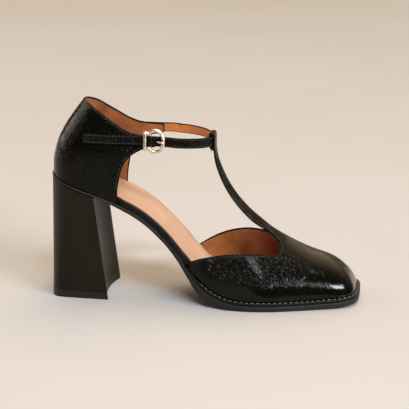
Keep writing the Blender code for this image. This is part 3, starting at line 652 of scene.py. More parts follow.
class Finish:
    """A material under construction. Its flat values sit on the Principled shader's own sockets."""

    def __init__(self, name, **flat):
        self.material = bpy.data.materials.new(name)
        self.material.use_nodes = True
        self.tree = self.material.node_tree
        self.shader = self.tree.nodes["Principled BSDF"]
        for socket, value in flat.items():
            self.shader.inputs[socket.replace("_", " ")].default_value = value

    def feed(self, socket, value):
        if isinstance(value, Value):
            self.tree.links.new(value.socket, socket)
        else:
            socket.default_value = value

    def node(self, kind, settings=None, inputs=None, output=0):
        node = self.tree.nodes.new("ShaderNode" + kind)
        for setting, value in (settings or {}).items():
            if setting == "stops":
                elements = node.color_ramp.elements
                while len(elements) < len(value):
                    elements.new(1.0)
                for element, (place, colour) in zip(elements, value):
                    element.position = place
                    element.color = (*colour, 1.0)
            else:
                setattr(node, setting, value)
        for socket, value in (inputs or {}).items():
            self.feed(node.inputs[socket], value)
        return Value(self, node.outputs[output])

    def place(self):
        return self.node("TexCoord", output="Object")

    def kept(self, attribute, output="Fac"):
        return self.node("Attribute", {"attribute_name": attribute}, output=output)

    def noise(self, vector, scale, detail=3.0, roughness=0.55, distortion=0.0):
        inputs = {"Vector": vector, "Scale": scale, "Detail": detail}
        inputs.update({"Roughness": roughness, "Distortion": distortion})
        return self.node("TexNoise", {}, inputs)

    def stretched(self, vector, along, across, third=1.0):
        """The vector in cells of along by across metres."""
        return self.node("Mapping", {}, {"Vector": vector, "Scale": (1 / along, 1 / across, 1 / third)})

    def between(self, value, low, high, new_low=0.0, new_high=1.0):
        """value brought from low..high to new_low..new_high, smoothly and held there."""
        inputs = {"Value": value, 1: low, 2: high, 3: new_low, 4: new_high}
        return self.node("MapRange", {"interpolation_type": "SMOOTHSTEP"}, inputs)

    def blend(self, share, first, second):
        """A mix of two colours."""
        pair = [c if isinstance(c, Value) else (*c, 1.0) for c in (first, second)]
        return self.node("Mix", {"data_type": "RGBA"}, {0: share, 6: pair[0], 7: pair[1]}, output=2)

    def bump(self, height, metres, under=None):
        inputs = {"Height": height, "Distance": metres, "Strength": 1.0}
        if under is not None:
            inputs["Normal"] = under
        return self.node("Bump", {}, inputs)

    def into(self, **links):
        for socket, value in links.items():
            self.feed(self.shader.inputs[socket.replace("_", " ")], value)
        return self.material


print("a value can be added, subtracted and multiplied")

# %% [markdown]
# Patent leather is a black hide under a poured lacquer. Where it bends and near the topline it breaks into
# fine wrinkles, which here run down from the edge. A flow vector, kept at each point of the mesh, says how
# far along the shoe and down from the ridge a point lies, so the wrinkles follow the leather round each
# strap. A second number says how strong they are. Where it is smooth, a clear coat lies over it.

# %% Black patent leather
WRINKLE_WIDE, WRINKLE_LONG = 0.0014, 0.0036


def patent_leather():
    finish = Finish("black_patent", IOR=1.20, Coat_Roughness=0.03, Coat_IOR=1.20)
    flow = finish.kept("flow", "Vector")
    strength = finish.kept("crinkle")
    cells = finish.stretched(flow, WRINKLE_WIDE, WRINKLE_LONG)
    kind = {"feature": "DISTANCE_TO_EDGE", "voronoi_dimensions": "2D"}
    creases = finish.node("TexVoronoi", kind, {"Vector": cells, "Scale": 0.90})
    pillows = finish.between(creases, 0.0, 0.28)
    folds = finish.noise(cells, 0.8, 2.0, 0.55, 0.25)
    patches = finish.noise(finish.stretched(flow, 0.008, 0.014), 1.0, 2.0)
    local = strength * finish.between(patches, 0.30, 0.55, 0.55, 1.0)
    height = (pillows * 0.55 + folds * 0.80) * local
    pores = finish.noise(finish.place(), 1500.0, 2.0)
    waves = finish.noise(finish.place(), 75.0, 1.0, 0.4)
    slow = finish.bump(waves, 0.0002)
    normal = finish.bump(height, 0.00075, finish.bump(pores, 0.000006, slow))
    dark, light = (0.0016, 0.0014, 0.0008), (0.0036, 0.0031, 0.0018)
    colour = finish.blend(finish.between(folds, 0.3, 0.7), dark, light)
    rough = 0.07 + finish.between(patches, 0.3, 0.8) * 0.05 + strength * 0.04
    coat = finish.between(local, 0.0, 0.4, 0.7, 0.10)
    return finish.into(Base_Color=colour, Roughness=rough, Normal=normal, Coat_Weight=coat)


PATENT = patent_leather()
print("patent leather has", len(PATENT.node_tree.nodes), "nodes")

# %% [markdown]
# The linings are dyed, not painted, so their colour is cloudy and their pores are dark. They read one number
# kept on the mesh, the distance from the edge, because the black leather is turned over the lining there.

# %% Linings and the sock
def leather_lining(name, pale, deep, dark_edge):
    """Smooth tanned lining: cloudy colour, fine pores, and the upper's black edge turned over it."""
    finish = Finish(name, IOR=1.45, Sheen_Weight=0.15, Sheen_Roughness=0.5)
    place = finish.place()
    clouds = finish.noise(place, 90.0, 4.0, 0.6)
    pores = finish.noise(place, 1400.0, 2.0, 0.5)
    colour = finish.blend(finish.between(clouds, 0.32, 0.68), deep, pale)
    colour = finish.blend(finish.between(pores, 0.5, 0.7, 0.0, 0.25), colour, deep)
    edge = finish.between(finish.kept("from_edge"), dark_edge - 0.0002, dark_edge)
    colour = finish.blend(edge, (0.010, 0.008, 0.007), colour)
    rough = finish.between(clouds, 0.3, 0.7, 0.48, 0.62)
    return finish.into(Base_Color=colour, Roughness=rough, Normal=finish.bump(pores + clouds * 0.6, 0.00008))


def sock_leather():
    """The pale peach sock: soft nap and pores, and painted shade that darkens its rounded edge."""
    finish = Finish("peach_sock", IOR=1.3, Sheen_Weight=0.05, Sheen_Roughness=0.5)
    place = finish.place()
    clouds = finish.noise(place, 45.0, 4.0, 0.6)
    pores = finish.noise(place, 1100.0, 3.0, 0.6)
    colour = finish.blend(finish.between(clouds, 0.3, 0.7), (0.410, 0.238, 0.155), (0.470, 0.295, 0.198))
    colour = finish.blend(finish.between(pores, 0.5, 0.72, 0.0, 0.3), colour, (0.42, 0.205, 0.10))
    # Painted shade: the colour turns dull brown over the sheet's rounded side edge, within 0.8 mm of the edge.
    edge = finish.between(finish.kept("from_edge"), 0.0003, 0.0008)
    colour = finish.blend(edge, (0.11, 0.065, 0.042), colour)
    rough = finish.between(clouds, 0.3, 0.7, 0.52, 0.66)
    return finish.into(Base_Color=colour, Roughness=rough, Normal=finish.bump(pores + clouds * 0.4, 0.0001))


UPPER_LINING = leather_lining("tan_lining", (0.40, 0.138, 0.036), (0.27, 0.083, 0.020), 0.0010)
STRAP_LINING = leather_lining("strap_lining", (0.64, 0.200, 0.034), (0.48, 0.140, 0.022), 0.0009)
SOCK_LEATHER = sock_leather()
print("linings:", UPPER_LINING.name, STRAP_LINING.name, SOCK_LEATHER.name)

# %% [markdown]
# The hard parts are dull next to the patent leather: a covered board and heel, a covered welt strip and an
# inked sole edge. The buckle is the one bright metal.

# %% Sole, heel, thread and metal
def covered_leather(name, dark, light, rough, grain, depth):
    """A thin dyed leather drawn over a hard core: fine grain, rubbed a little lighter in patches."""
    finish = Finish(name, IOR=1.28)
    place = finish.place()
    pebbles = finish.noise(place, grain, 4.0, 0.6, 0.3)
    drawn = finish.noise(finish.stretched(place, 0.012, 0.012, 0.045), 1.0, 3.0, 0.5)
    colour = finish.blend(finish.between(drawn, 0.3, 0.7), dark, light)
    worn = finish.between(pebbles, 0.3, 0.7, *rough)
    normal = finish.bump(pebbles, depth, finish.bump(drawn, 0.00025))
    return finish.into(Base_Color=colour, Roughness=worn, Normal=normal)


def sole_edge():
    """Stacked and inked sole edge: fine lines along the layers and a dull wax polish."""
    finish = Finish("dark_sole", IOR=1.4)
    place = finish.place()
    layers = finish.noise(finish.stretched(place, 0.05, 0.05, 0.0006), 1.0, 3.0, 0.6)
    fleck = finish.noise(place, 900.0, 3.0)
    dark, light = (0.0055, 0.0041, 0.0024), (0.0125, 0.0098, 0.0062)
    colour = finish.blend(finish.between(layers, 0.35, 0.7), dark, light)
    colour = finish.blend(finish.between(fleck, 0.55, 0.75, 0.0, 0.4), colour, (0.020, 0.017, 0.013))
    rough = finish.between(fleck, 0.3, 0.7, 0.40, 0.58)
    return finish.into(Base_Color=colour, Roughness=rough, Normal=finish.bump(layers + fleck * 0.5, 0.00006))


def thread(name, dark, light):
    finish = Finish(name, Sheen_Weight=0.3, Sheen_Roughness=0.4)
    place = finish.place()
    plies = finish.noise(finish.stretched(place, 0.0004, 0.0004, 0.0004), 1.0, 2.0)
    colour = finish.blend(finish.between(plies, 0.35, 0.65), dark, light)
    rough = finish.between(plies, 0.3, 0.7, 0.38, 0.6)
    return finish.into(Base_Color=colour, Roughness=rough, Normal=finish.bump(plies, 0.00008))


def pale_gold():
    """Plated zinc: a pale warm metal with hair scratches from wiping and slightly dull patches."""
    finish = Finish("pale_gold", Metallic=1.0)
    place = finish.place()
    hairs = finish.noise(finish.stretched(place, 0.0035, 0.0035, 0.00025), 1.0, 4.0, 0.65)
    dull = finish.noise(place, 260.0, 3.0)
    colour = finish.blend(finish.between(dull, 0.35, 0.7), (0.90, 0.82, 0.68), (0.80, 0.70, 0.54))
    rough = 0.24 + finish.between(hairs, 0.3, 0.8) * 0.12
    return finish.into(Base_Color=colour, Roughness=rough, Normal=finish.bump(hairs, 0.000012))


COVERS = {
    "board_wrap": ((0.0014, 0.0012, 0.0007), (0.0030, 0.0026, 0.0016), (0.30, 0.42), 900.0, 0.00003),
    "heel_cover": ((0.0048, 0.0036, 0.0010), (0.0080, 0.0060, 0.0020), (0.36, 0.48), 1100.0, 0.00003),
    "welt_strip": ((0.0012, 0.0010, 0.0006), (0.0036, 0.0030, 0.0018), (0.40, 0.55), 700.0, 0.00005),
}
BOARD_WRAP, HEEL_COVER, WELT_STRIP = [covered_leather(name, *look) for name, look in COVERS.items()]
SOLE_EDGE = sole_edge()
BLACK_THREAD = thread("black_thread", (0.006, 0.006, 0.006), (0.020, 0.019, 0.018))
GREY_THREAD = thread("grey_thread", (0.045, 0.043, 0.040), (0.115, 0.110, 0.100))
GOLD = pale_gold()
print("finishes:", ", ".join(sorted(m.name for m in bpy.data.materials)))

# %% [markdown]
# Every piece here stands in for a plain solid. It is made from the same curves as the
# solid, only with more points, so it can't drift away from it. The pieces are made in mesh code and ride on
# the one body, root. The small helpers below turn grids and rings of points into an object.

# %% Mesh helpers
WELD, SLIVER = 0.00001, 0.000005  # points closer than this are one, edges shorter than this go
HEEL_STEPS, SIDE_STEPS, TOE_STEPS = 16, 76, 22  # stations round the heel, along the sides, round the toe


def put(name, data):
    """A new object in the scene, at the origin."""
    obj = bpy.data.objects.new(name, data)
    bpy.context.scene.collection.objects.link(obj)
    return obj


def to_object(name, bm, finishes):
    """bm as an object. The tables count from the heel seat, and the finished shoe from its heel."""
    bmesh.ops.translate(bm, verts=bm.verts, vec=(-TREAD_X, 0.0, 0.0))
    mesh = bpy.data.meshes.new(name)
    bm.to_mesh(mesh)
    bm.free()
    mesh.shade_smooth()
    for finish in finishes:
        mesh.materials.append(finish)
    return put(name, mesh)


def dress(obj, slot, *nodes):
    """Puts a finished piece on the shoe in place of its plain solids."""
    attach(obj, "root")
    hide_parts(*nodes)
    print(f"{obj.name}: {len(obj.data.polygons)} faces, stands for {', '.join(nodes) or 'nothing'}")
    return obj


def new_vert(bm, point):
    return bm.verts.new(tuple(map(float, point)))


def bridge(bm, near, far, wrap=False):
    """A strip of four-sided faces between two rows of points."""
    count, faces = len(near), []
    for i in range(count if wrap else count - 1):
        j = (i + 1) % count
        faces.append(bm.faces.new((near[i], near[j], far[j], far[i])))
    return faces


def weld(bm, distance=WELD):
    """Merges doubled points, drops slivers and turns the faces the same way."""
    bmesh.ops.remove_doubles(bm, verts=bm.verts, dist=distance)
    bmesh.ops.dissolve_degenerate(bm, dist=SLIVER, edges=bm.edges)
    bmesh.ops.recalc_face_normals(bm, faces=bm.faces)


def ring_solid(rings, notes=()):
    """A solid through closed rings of points. notes gives a from_edge number for each place on a ring."""
    bm = bmesh.new()
    kept = bm.verts.layers.float.new("from_edge")
    loops = [[new_vert(bm, p) for p in ring] for ring in rings]
    for loop in loops:
        for vert, note in zip(loop, notes):
            vert[kept] = note
    for near, far in zip(loops, loops[1:]):
        bridge(bm, near, far, wrap=True)
    bm.faces.new(loops[0])
    bm.faces.new(loops[-1])
    weld(bm)
    return bm


def fine_stations(first=0.0):
    """Closely spaced stations of the outline, with extra ones where the welt and the open waist start."""
    places = [HEEL_SHARE * k / HEEL_STEPS for k in range(HEEL_STEPS)]
    places += [station_of(x) for x in steps(HEEL_ROUND, LENGTH - TOE_ROUND, SIDE_STEPS)]
    extra = (QUARTER_END + 0.0005, WELT_FROM - 0.0025, WELT_FROM - 0.0005, WELT_FROM)
    places += [station_of(x) for x in extra]
    places += [TOE_SHARE + (1 - TOE_SHARE) * k / TOE_STEPS for k in range(1, TOE_STEPS + 1)]
    return sorted({round(a, 6) for a in places if a >= first})


def round_the_toe(first_x):
    """Sides and stations from the outer side at first_x round the toe to the inner side."""
    half = fine_stations(station_of(first_x) - 1e-6)
    return [(LATERAL, a) for a in half] + [(MEDIAL, a) for a in half[-2::-1]]


print("stations along the sole:", len(fine_stations()))

# %% [markdown]
# The sole is a stack of sheets hung from the curve of the last: sock, board, welt and outsole. A sheet's
# edge isn't a sharp corner. It is trimmed, inked and rubbed until it is round, and that roundness is what
# catches the light along the waist. Each sheet is lofted along the shoe through rings with rounded ends.

# %% Sheets of the sole
def sheet_profile(thick, round_by):
    """Half of a sheet's section, from the middle out and back: inset from its edge, depth under its top."""
    arc = [(round_by * (1 - math.sin(t)), round_by * (1 - math.cos(t))) for t in steps(0.0, math.pi / 2, 5)]
    top = [(0.0065, 0.0), (0.0030, 0.0), (0.0014, 0.0), (round_by + 0.0002, 0.0)] + arc
    return top + [(inset_by, thick - down) for inset_by, down in top[::-1]]


def sheet_layer(top, bottom, grow_at, round_by, lowest=-1.0):
    """A sheet between the depths top and bottom, cut off flat at lowest."""
    rings = []
    between = steps(0, 1, 9)[1:-1]
    for a in fine_stations():
        x0 = station(a)[0]
        thick = bottom(x0) - top(x0)
        profile = sheet_profile(thick, round_by)
        halves = {}
        for side in SIDES:
            points = []
            for inset_by, down in profile:
                x, y = outline(side, a, grow_at(x0) - inset_by)
                depth = top(x) + down * (bottom(x) - top(x)) / thick
                points.append(np.array([x, y, max(under(x, depth), lowest)]))
            halves[side] = points
        across = [mix(halves[LATERAL][0], halves[MEDIAL][0], f) for f in between]
        back = [mix(halves[LATERAL][-1], halves[MEDIAL][-1], f) for f in between]
        for middle, depth_at in ((across, top), (back, bottom)):
            for p in middle:
                p[2] = max(under(p[0], depth_at(p[0])), lowest)
        rings.append(halves[LATERAL][::-1] + across + halves[MEDIAL] + back[::-1])
    edge_notes = [inset_by for inset_by, _ in profile]
    far_notes = [0.01] * len(between)
    return ring_solid(rings, edge_notes[::-1] + far_notes + edge_notes + far_notes)


def flat(value):
    return lambda x: value


sock = to_object("sock_sheet", sheet_layer(flat(0.0), flat(SOCK), inset, 0.0005), [SOCK_LEATHER])
dress(sock, "sock", "insole_sock")
board = to_object("wrapped_board", sheet_layer(flat(SOCK + GAP), feather_depth, inset, 0.0005), [BOARD_WRAP])
dress(board, "board_wrap", "insole_board")
outsole = to_object("sole_layer", sheet_layer(outsole_top, total_at, sole_grow, 0.0007, 0.0), [SOLE_EDGE])
dress(outsole, "outsole", "outsole")

# %% [markdown]
# The welt is a strip round the forefoot only. It starts thin at the waist, lies on the outsole and reaches in
# under the upper. Its edge is rounded on top, where the stitches will lie.

# %% The welt
WELT_ROUND = 0.35  # radius of its edge as a share of its thickness


def welt_rings():
    rings = []
    for side, a in round_the_toe(WELT_FROM):
        x0 = station(a)[0]
        thick, grow = welt_at(x0), sole_grow(x0)
        round_by = thick * WELT_ROUND
        turns = steps(0.0, math.pi / 2, 5)
        arc = [(grow - round_by * (1 - math.sin(t)), round_by * (1 - math.cos(t))) for t in turns]
        section_line = [(-WELT_INSIDE, 0.0), (-0.001, 0.0), (grow - round_by - 0.0003, 0.0)] + arc
        section_line += [(grow, thick - 0.0002), (grow - 0.0003, thick), (-WELT_INSIDE, thick)]
        ring = []
        for out, down in section_line:
            x, y = outline(side, a, out)
            ring.append((x, y, under(x, feather_depth(x) + GAP + down)))
        rings.append(ring)
    return rings


welt = to_object("welt_strip", ring_solid(welt_rings()), [WELT_STRIP])
dress(welt, "welt", "welt")

# %% [markdown]
# The heel is one block with a hollow front. Its outline on the floor and its outline under the seat are
# different shapes, so each level between them is a mix of the two. The hollow is drawn straight into each
# level instead of being cut, which keeps clean four-sided faces, and a bevel then softens the wrapped edges.

# %% Heel block and top piece
CAP_FROM = 6  # rows at the breast end that one face closes, with the hollow
BEVELLED, SHARP = 40, 60  # degrees between faces


def heel_level(level, lowest, highest, share):
    """Pairs of points across the heel from its back to the breast, then the hollow breast line."""
    pairs = []
    shoulder, flank = steps(0.12, HEEL_ROUNDS_TO, 18), steps(HEEL_ROUNDS_TO, 1.0, 6)[1:]
    for along in [0.0, 0.012, 0.03, 0.055, 0.085] + shoulder + flank:
        pair = []
        for side in SIDES:
            x, y = heel_point(side, along, level)
            pair.append((x, y, mix(lowest, highest(x), share)))
        pairs.append(pair)
    (x0, y0, _), (x1, y1, _) = pairs[-1]
    half = foot_half(HEEL_FOOT["x"][-1]) - SEAT_OUT
    breast = []
    for f in steps(0.0, 1.0, 19)[1:-1]:
        x, y = mix(x0, x1, f), mix(y0, y1, f)
        x -= BREAST_HOLLOW * max(0.0, 1 - (y / half) ** 2)
        breast.append((x, y, mix(lowest, highest(x), share)))
    return pairs, breast


def heel_solid(levels, lowest, highest):
    bm = bmesh.new()
    made = []
    for level in levels:
        share = (level - levels[0]) / (levels[-1] - levels[0])
        pairs, breast = heel_level(level, lowest, highest, share)
        rows = [[new_vert(bm, p) for p in pair] for pair in pairs]
        made.append((rows, [new_vert(bm, p) for p in breast]))
    for (rows, breast), (rows_up, breast_up) in zip(made, made[1:]):
        for side in (0, 1):
            bridge(bm, [r[side] for r in rows], [r[side] for r in rows_up])
        line = [rows[-1][0]] + breast + [rows[-1][1]]
        line_up = [rows_up[-1][0]] + breast_up + [rows_up[-1][1]]
        bridge(bm, line, line_up)
    for rows, breast in (made[0], made[-1]):
        last = len(rows) - CAP_FROM
        bridge(bm, [r[0] for r in rows[: last + 1]], [r[1] for r in rows[: last + 1]])
        bm.faces.new([r[0] for r in rows[last:]] + breast + [r[1] for r in rows[last:]][::-1])
    weld(bm)
    return bm


def soften(obj, width):
    """A live bevel on the edges that are sharper than BEVELLED."""
    bevel = obj.modifiers.new("Rubbed edges", "BEVEL")
    bevel.width = width
    bevel.segments = 3
    bevel.limit_method = "ANGLE"
    bevel.angle_limit = math.radians(BEVELLED)
    obj.data.set_sharp_from_angle(angle=math.radians(SHARP))


split = TOP_PIECE / seat_z(0.03)
body_levels = steps(split + GAP / seat_z(0.03), 1.0, 15)
heel = to_object("covered_heel", heel_solid(body_levels, TOP_PIECE + GAP, seat_z), [HEEL_COVER])
soften(heel, 0.0007)
dress(heel, "heel_cover", "heel_block")
top_piece = to_object("heel_tip", heel_solid([0.0, split / 2, split], 0.0, flat(TOP_PIECE)), [SOLE_EDGE])
soften(top_piece, 0.0005)
dress(top_piece, "top_piece", "heel_top_piece")

# %% [markdown]
# The upper is a skin. Solidify could give it a wall, but the folded edge along the topline matters here: the
# patent leather is turned over it and shows as a thin black rim inside the tan lining. So the wall is made by
# hand. Each open edge gets a half-round rim, and every point keeps its distance from that edge, its flow and
# its wrinkle strength for the finishes to read.

# %% A wall with a rolled edge
ROLL = 0.45  # radius of the rolled edge as a share of the wall's thickness
FAR = 0.03  # distances from the edge are kept up to this


def open_edges(bm):
    """Loops of points along the open edges."""
    left = {line.index: line for line in bm.edges if line.is_boundary}
    loops = []
    while left:
        first = left.pop(next(iter(left)))
        loop = [first.verts[0], first.verts[1]]
        while True:
            found = next((e for e in loop[-1].link_edges if e.index in left), None)
            if found is None:
                break
            left.pop(found.index)
            loop.append(found.other_vert(loop[-1]))
        loops.append(loop[:-1] if loop[-1] is loop[0] else loop)
    return loops


def edge_outward(vert):
    """The direction out of the surface at a point of its open edge."""
    total = Vector()
    for border in vert.link_edges:
        if not border.is_boundary:
            continue
        start, end = border.verts
        line = (end.co - start.co).normalized()
        away = (start.co + end.co) / 2 - border.link_faces[0].calc_center_median()
        away -= line * away.dot(line)
        total += away.normalized()
    total -= vert.normal * total.dot(vert.normal)
    return total.normalized()


def note_layers(bm):
    """The three notes that the finishes read: flow, wrinkle strength and distance from the edge."""
    layers = bm.verts.layers
    return layers.float_vector.new("flow"), layers.float.new("crinkle"), layers.float.new("from_edge")


def noted_skin(bm, patches, note, centre, flow, crinkle):
    """The patches as one skin that faces away from centre, with each point's flow and wrinkle strength."""
    for number, rows in enumerate(patches):
        grid = []
        for i, row in enumerate(rows):
            grid.append([])
            for point in row:
                way, strength = note(number, i, point)
                vert = new_vert(bm, point)
                vert[flow] = (float(way[0]), float(way[1]), 0.0)
                vert[crinkle] = float(strength)
                grid[-1].append(vert)
        for near, far in zip(grid, grid[1:]):
            bridge(bm, near, far)
    weld(bm, 2 * WELD)
    turned = sum(f.normal.dot(f.calc_center_median() - Vector(centre)) * f.calc_area() for f in bm.faces)
    if turned < 0:
        bmesh.ops.reverse_faces(bm, faces=bm.faces)
    bm.normal_update()
    bm.verts.index_update()
    bm.edges.index_update()


def rolled_shell(patches, note, thick, is_feather, centre, is_black=None):
    """A closed wall from grids of points, with its edge loops for the stitching."""
    bm = bmesh.new()
    flow, crinkle, from_edge = note_layers(bm)
    noted_skin(bm, patches, note, centre, flow, crinkle)
    loops = open_edges(bm)
    rim = {v: edge_outward(v) for loop in loops for v in loop}
    normals = {v: v.normal.copy() for v in bm.verts}
    shown_rim = [v.co.copy() for v in rim if not is_feather(v.co)]
    tree = KDTree(len(shown_rim))
    for i, co in enumerate(shown_rim):
        tree.insert(co, i)
    tree.balance()
    path = [[(v.co.copy(), rim[v].copy(), v.normal.copy()) for v in loop] for loop in loops]
    outer, outer_faces = list(bm.verts), list(bm.faces)
    border = [(c.vert, c.link_loop_next.vert) for f in outer_faces for c in f.loops if c.edge.is_boundary]
    for v in outer:
        v[from_edge] = 0.0 if is_black and is_black(v.co) else min(tree.find(v.co)[2], FAR)
    roll = thick * ROLL
    inner = {}
    for v in outer:
        pulled = rim[v] * roll if v in rim else Vector()
        twin = bm.verts.new(v.co - pulled - normals[v] * thick * min(v.calc_shell_factor(), 1.25))
        twin[flow], twin[crinkle], twin[from_edge] = v[flow], v[crinkle], v[from_edge]
        inner[v] = twin
    arcs = {}
    for v, out in rim.items():
        arc = []
        for turn in steps(0.0, math.pi, 7)[1:-1]:
            place = v.co - out * roll * (1 - math.sin(turn)) - normals[v] * thick / 2 * (1 - math.cos(turn))
            step = bm.verts.new(place)
            step[flow], step[crinkle], step[from_edge] = v[flow], v[crinkle], 0.0
            arc.append(step)
        arcs[v] = arc
    for face in outer_faces:
        lined = bm.faces.new([inner[v] for v in reversed(face.verts)])
        lined.material_index = 1
    for a, b in border:
        line_a, line_b = [a] + arcs[a] + [inner[a]], [b] + arcs[b] + [inner[b]]
        for k in range(len(line_a) - 1):
            bm.faces.new((line_b[k], line_a[k], line_a[k + 1], line_b[k + 1]))
    for v, out in rim.items():
        v.co -= out * roll
    return bm, path

# %% [markdown]
# The vamp is cut in one with the T-strap. Its outer face is a fan of curves from the feather line up to the
# instep, joined to two wings and to the strap that climbs the ridge and folds over the ankle strap. The
# wrinkles are strongest along the wings and round the throat, and fade out towards the toe.

# %% Vamp and T-strap
CENTRE_OF_FOOT = (0.150, 0.0, 0.018)
WRINKLE_LEAN = 0.42  # how much the wrinkles lean back on their way down
FEATHER_BAND, FEATHER_TOP = 0.0008, 0.105


def strap_arc(z):
    """Length up the T-strap from its root."""
    base, total = ridge_z(THROAT_BACK), 0.0
    places = steps(base, max(z, base + 1e-6), 14)
    for low, high in zip(places, places[1:]):
        total += math.hypot(high - low, ridge_x(high) - ridge_x(low))
    return total


def vamp_flow(side, point):
    x, y, z = point
    top = ridge_z(max(x, THROAT_BACK))
    down = abs(y) + 0.8 * max(top - z, 0.0)
    return (x - WRINKLE_LEAN * down, side * down)


def vamp_crinkle(side, point):
    x, _, z = point
    wing = wing_top_z[side](min(x, THROAT_BACK))
    top = mix(wing, ridge_z(x), ramp(x, THROAT_BACK, 0.176))
    height = (z - feather_z(x)) / max(top - feather_z(x), 0.001)
    along = ramp(x, 0.112, 0.126) * (1 - 0.93 * ramp(x, 0.184, 0.204))
    smooth_top = 1 - 0.92 * ramp(height, 0.72, 0.95) * ramp(x, 0.173, 0.184)
    return 0.05 + 0.95 * along * ramp(height, 0.22, 0.62) * smooth_top


def vamp_note(patch, row, p):
    """Flow and wrinkle strength at a point of the vamp. The third grid of each side is the T-strap."""
    side = LATERAL if patch < 3 else MEDIAL
    if patch % 3 < 2:
        return vamp_flow(side, p), vamp_crinkle(side, p)
    up = strap_arc(p[2]) if row < CLIMB else strap_arc(LOOP_FROM) + 0.001 * (row - CLIMB)
    return (THROAT_BACK - up - 0.5 * abs(p[1]), p[1]), 0.25 + 0.75 * ramp(up, 0.006, 0.020)


def near_feather(co):
    """Whether a point lies on the edge that the sole hides."""
    return co.z < min(feather_z(co.x) + FEATHER_BAND, FEATHER_TOP)


def in_fold(co):
    return co.z > LOOP_FROM - 0.003


vamp_mesh, vamp_edges = rolled_shell(
    vamp_patches(), vamp_note, T_THICK, near_feather, CENTRE_OF_FOOT, in_fold
)
vamp = to_object("vamp_leather", vamp_mesh, [PATENT, UPPER_LINING])
dress(vamp, "patent_upper", "vamp")

# %% [markdown]
# The quarter is the smoothest part of the upper, because it is stretched over the heel. It wrinkles most at
# its front and its tabs, where the strap pulls on them.

# %% Quarter
CENTRE_OF_HEEL = (0.030, 0.0, 0.120)


def quarter_note(patch, row, p):
    side = SIDES[patch]
    strength = 0.30 + 0.50 * ramp(p[0], 0.040, 0.070) * ramp(p[2], 0.088, 0.110)
    return (side * (p[0] + 0.02), p[2]), strength


quarter_mesh, quarter_edges = rolled_shell(
    quarter_patches(), quarter_note, WALL, near_feather, CENTRE_OF_HEEL
)
quarter = to_object("quarter_leather", quarter_mesh, [PATENT, UPPER_LINING])
dress(quarter, "patent_upper", "quarter")

# %% [markdown]
# The ankle strap is folded leather round a lining strip, so its section is a small pillow. Its ring of points
# follows the strap's path. The faces on the foot's side take the tan lining, and the last millimetres of the
# free end narrow to a rounded tip.

# %% Ankle strap
PILLOW, PILLOW_UP = 2.7, 4.5  # squareness of the strap's section, out and up
TIP_ROUND, TIP_POWER, TIP_LEAST = 0.0030, 2.6, 0.25
STRAP_CRINKLE = 3.0
LINED_BEYOND = -0.55  # faces further in than this share of the section are lining


def strap_section():
    """Places round the strap's section: out from the foot and up, each from -1 to 1."""
    ring = []
    for k in range(24):
        turn = 2 * math.pi * (k + 0.5) / 24
        c, s = math.cos(turn), math.sin(turn)
        ring.append((math.copysign(abs(c) ** (2 / PILLOW), c), math.copysign(abs(s) ** (2 / PILLOW_UP), s)))
    return ring


def ankle_strap_mesh():
    """The strap as a swept ring, and its path for the stitches."""
    centres, ups = strap_stations()
    bm = bmesh.new()
    flow, crinkle, from_edge = note_layers(bm)
    section_ring, loops, path, gone = strap_section(), [], [], 0.0
    for i, (centre, up) in enumerate(zip(centres, ups)):
        along = centres[min(i + 1, len(centres) - 1)] - centres[max(i - 1, 0)]
        out = np.cross(along, up)
        out /= np.linalg.norm(out)
        rise = np.cross(out, along)
        rise /= np.linalg.norm(rise)
        if i:
            gone += float(np.linalg.norm(centre - centres[i - 1]))
        tip = min(gone / TIP_ROUND, 1.0)
        narrow = max(1 - (1 - tip) ** TIP_POWER, 0.0) ** (1 / TIP_POWER)
        half = STRAP_WIDTH / 2 * mix(TIP_LEAST, 1.0, narrow)
        loop = []
        for a, b in section_ring:
            vert = bm.verts.new(tuple(centre + out * a * STRAP_THICK / 2 + rise * b * half))
            vert[flow] = (gone - 0.5 * b * STRAP_WIDTH / 2, b * STRAP_WIDTH / 2, 0.0)
            vert[crinkle] = STRAP_CRINKLE
            vert[from_edge] = (1 - abs(b)) * STRAP_WIDTH / 2 if a < 0 else 0.0
            loop.append(vert)
        loops.append(loop)
        path.append((centre, out, rise, half, gone))
    count = len(section_ring)
    for near, far in zip(loops, loops[1:]):
        for i, face in enumerate(bridge(bm, near, far, wrap=True)):
            middle = (section_ring[i][0] + section_ring[(i + 1) % count][0]) / 2
            face.material_index = 1 if middle < LINED_BEYOND else 0
    bm.faces.new(loops[0])
    bm.faces.new(loops[-1])
    bmesh.ops.recalc_face_normals(bm, faces=bm.faces)
    return bm, path


strap_mesh, strap_path_made = ankle_strap_mesh()
ankle_strap = to_object("ankle_strap_leather", strap_mesh, [PATENT, STRAP_LINING])
dress(ankle_strap, "patent_upper", "ankle_strap")

# %% [markdown]
# The buckle is bent wire. One Geometry Nodes tree sweeps a round section along any path of points, with the
# wire's radius as its input. A closed path becomes a ring, and an open one is closed with flat caps. Two
# small helpers build the trees: add makes a node, and chain links nodes one after the other.

# %% A tree for bent wire
def add(tree, kind, settings=None, inputs=None):
    """A node of a geometry tree, with its settings and the values of its sockets."""
    node = tree.nodes.new(kind)
    for setting, value in (settings or {}).items():
        setattr(node, setting, value)
    for socket, value in (inputs or {}).items():
        node.inputs[socket].default_value = value
    return node


def chain(tree, *stops):
    """Links nodes one after the other. A stop is a node's input, the node and its output."""
    for (_, source, output), (socket, target, _) in zip(stops, stops[1:]):
        tree.links.new(source.outputs[output], target.inputs[socket])


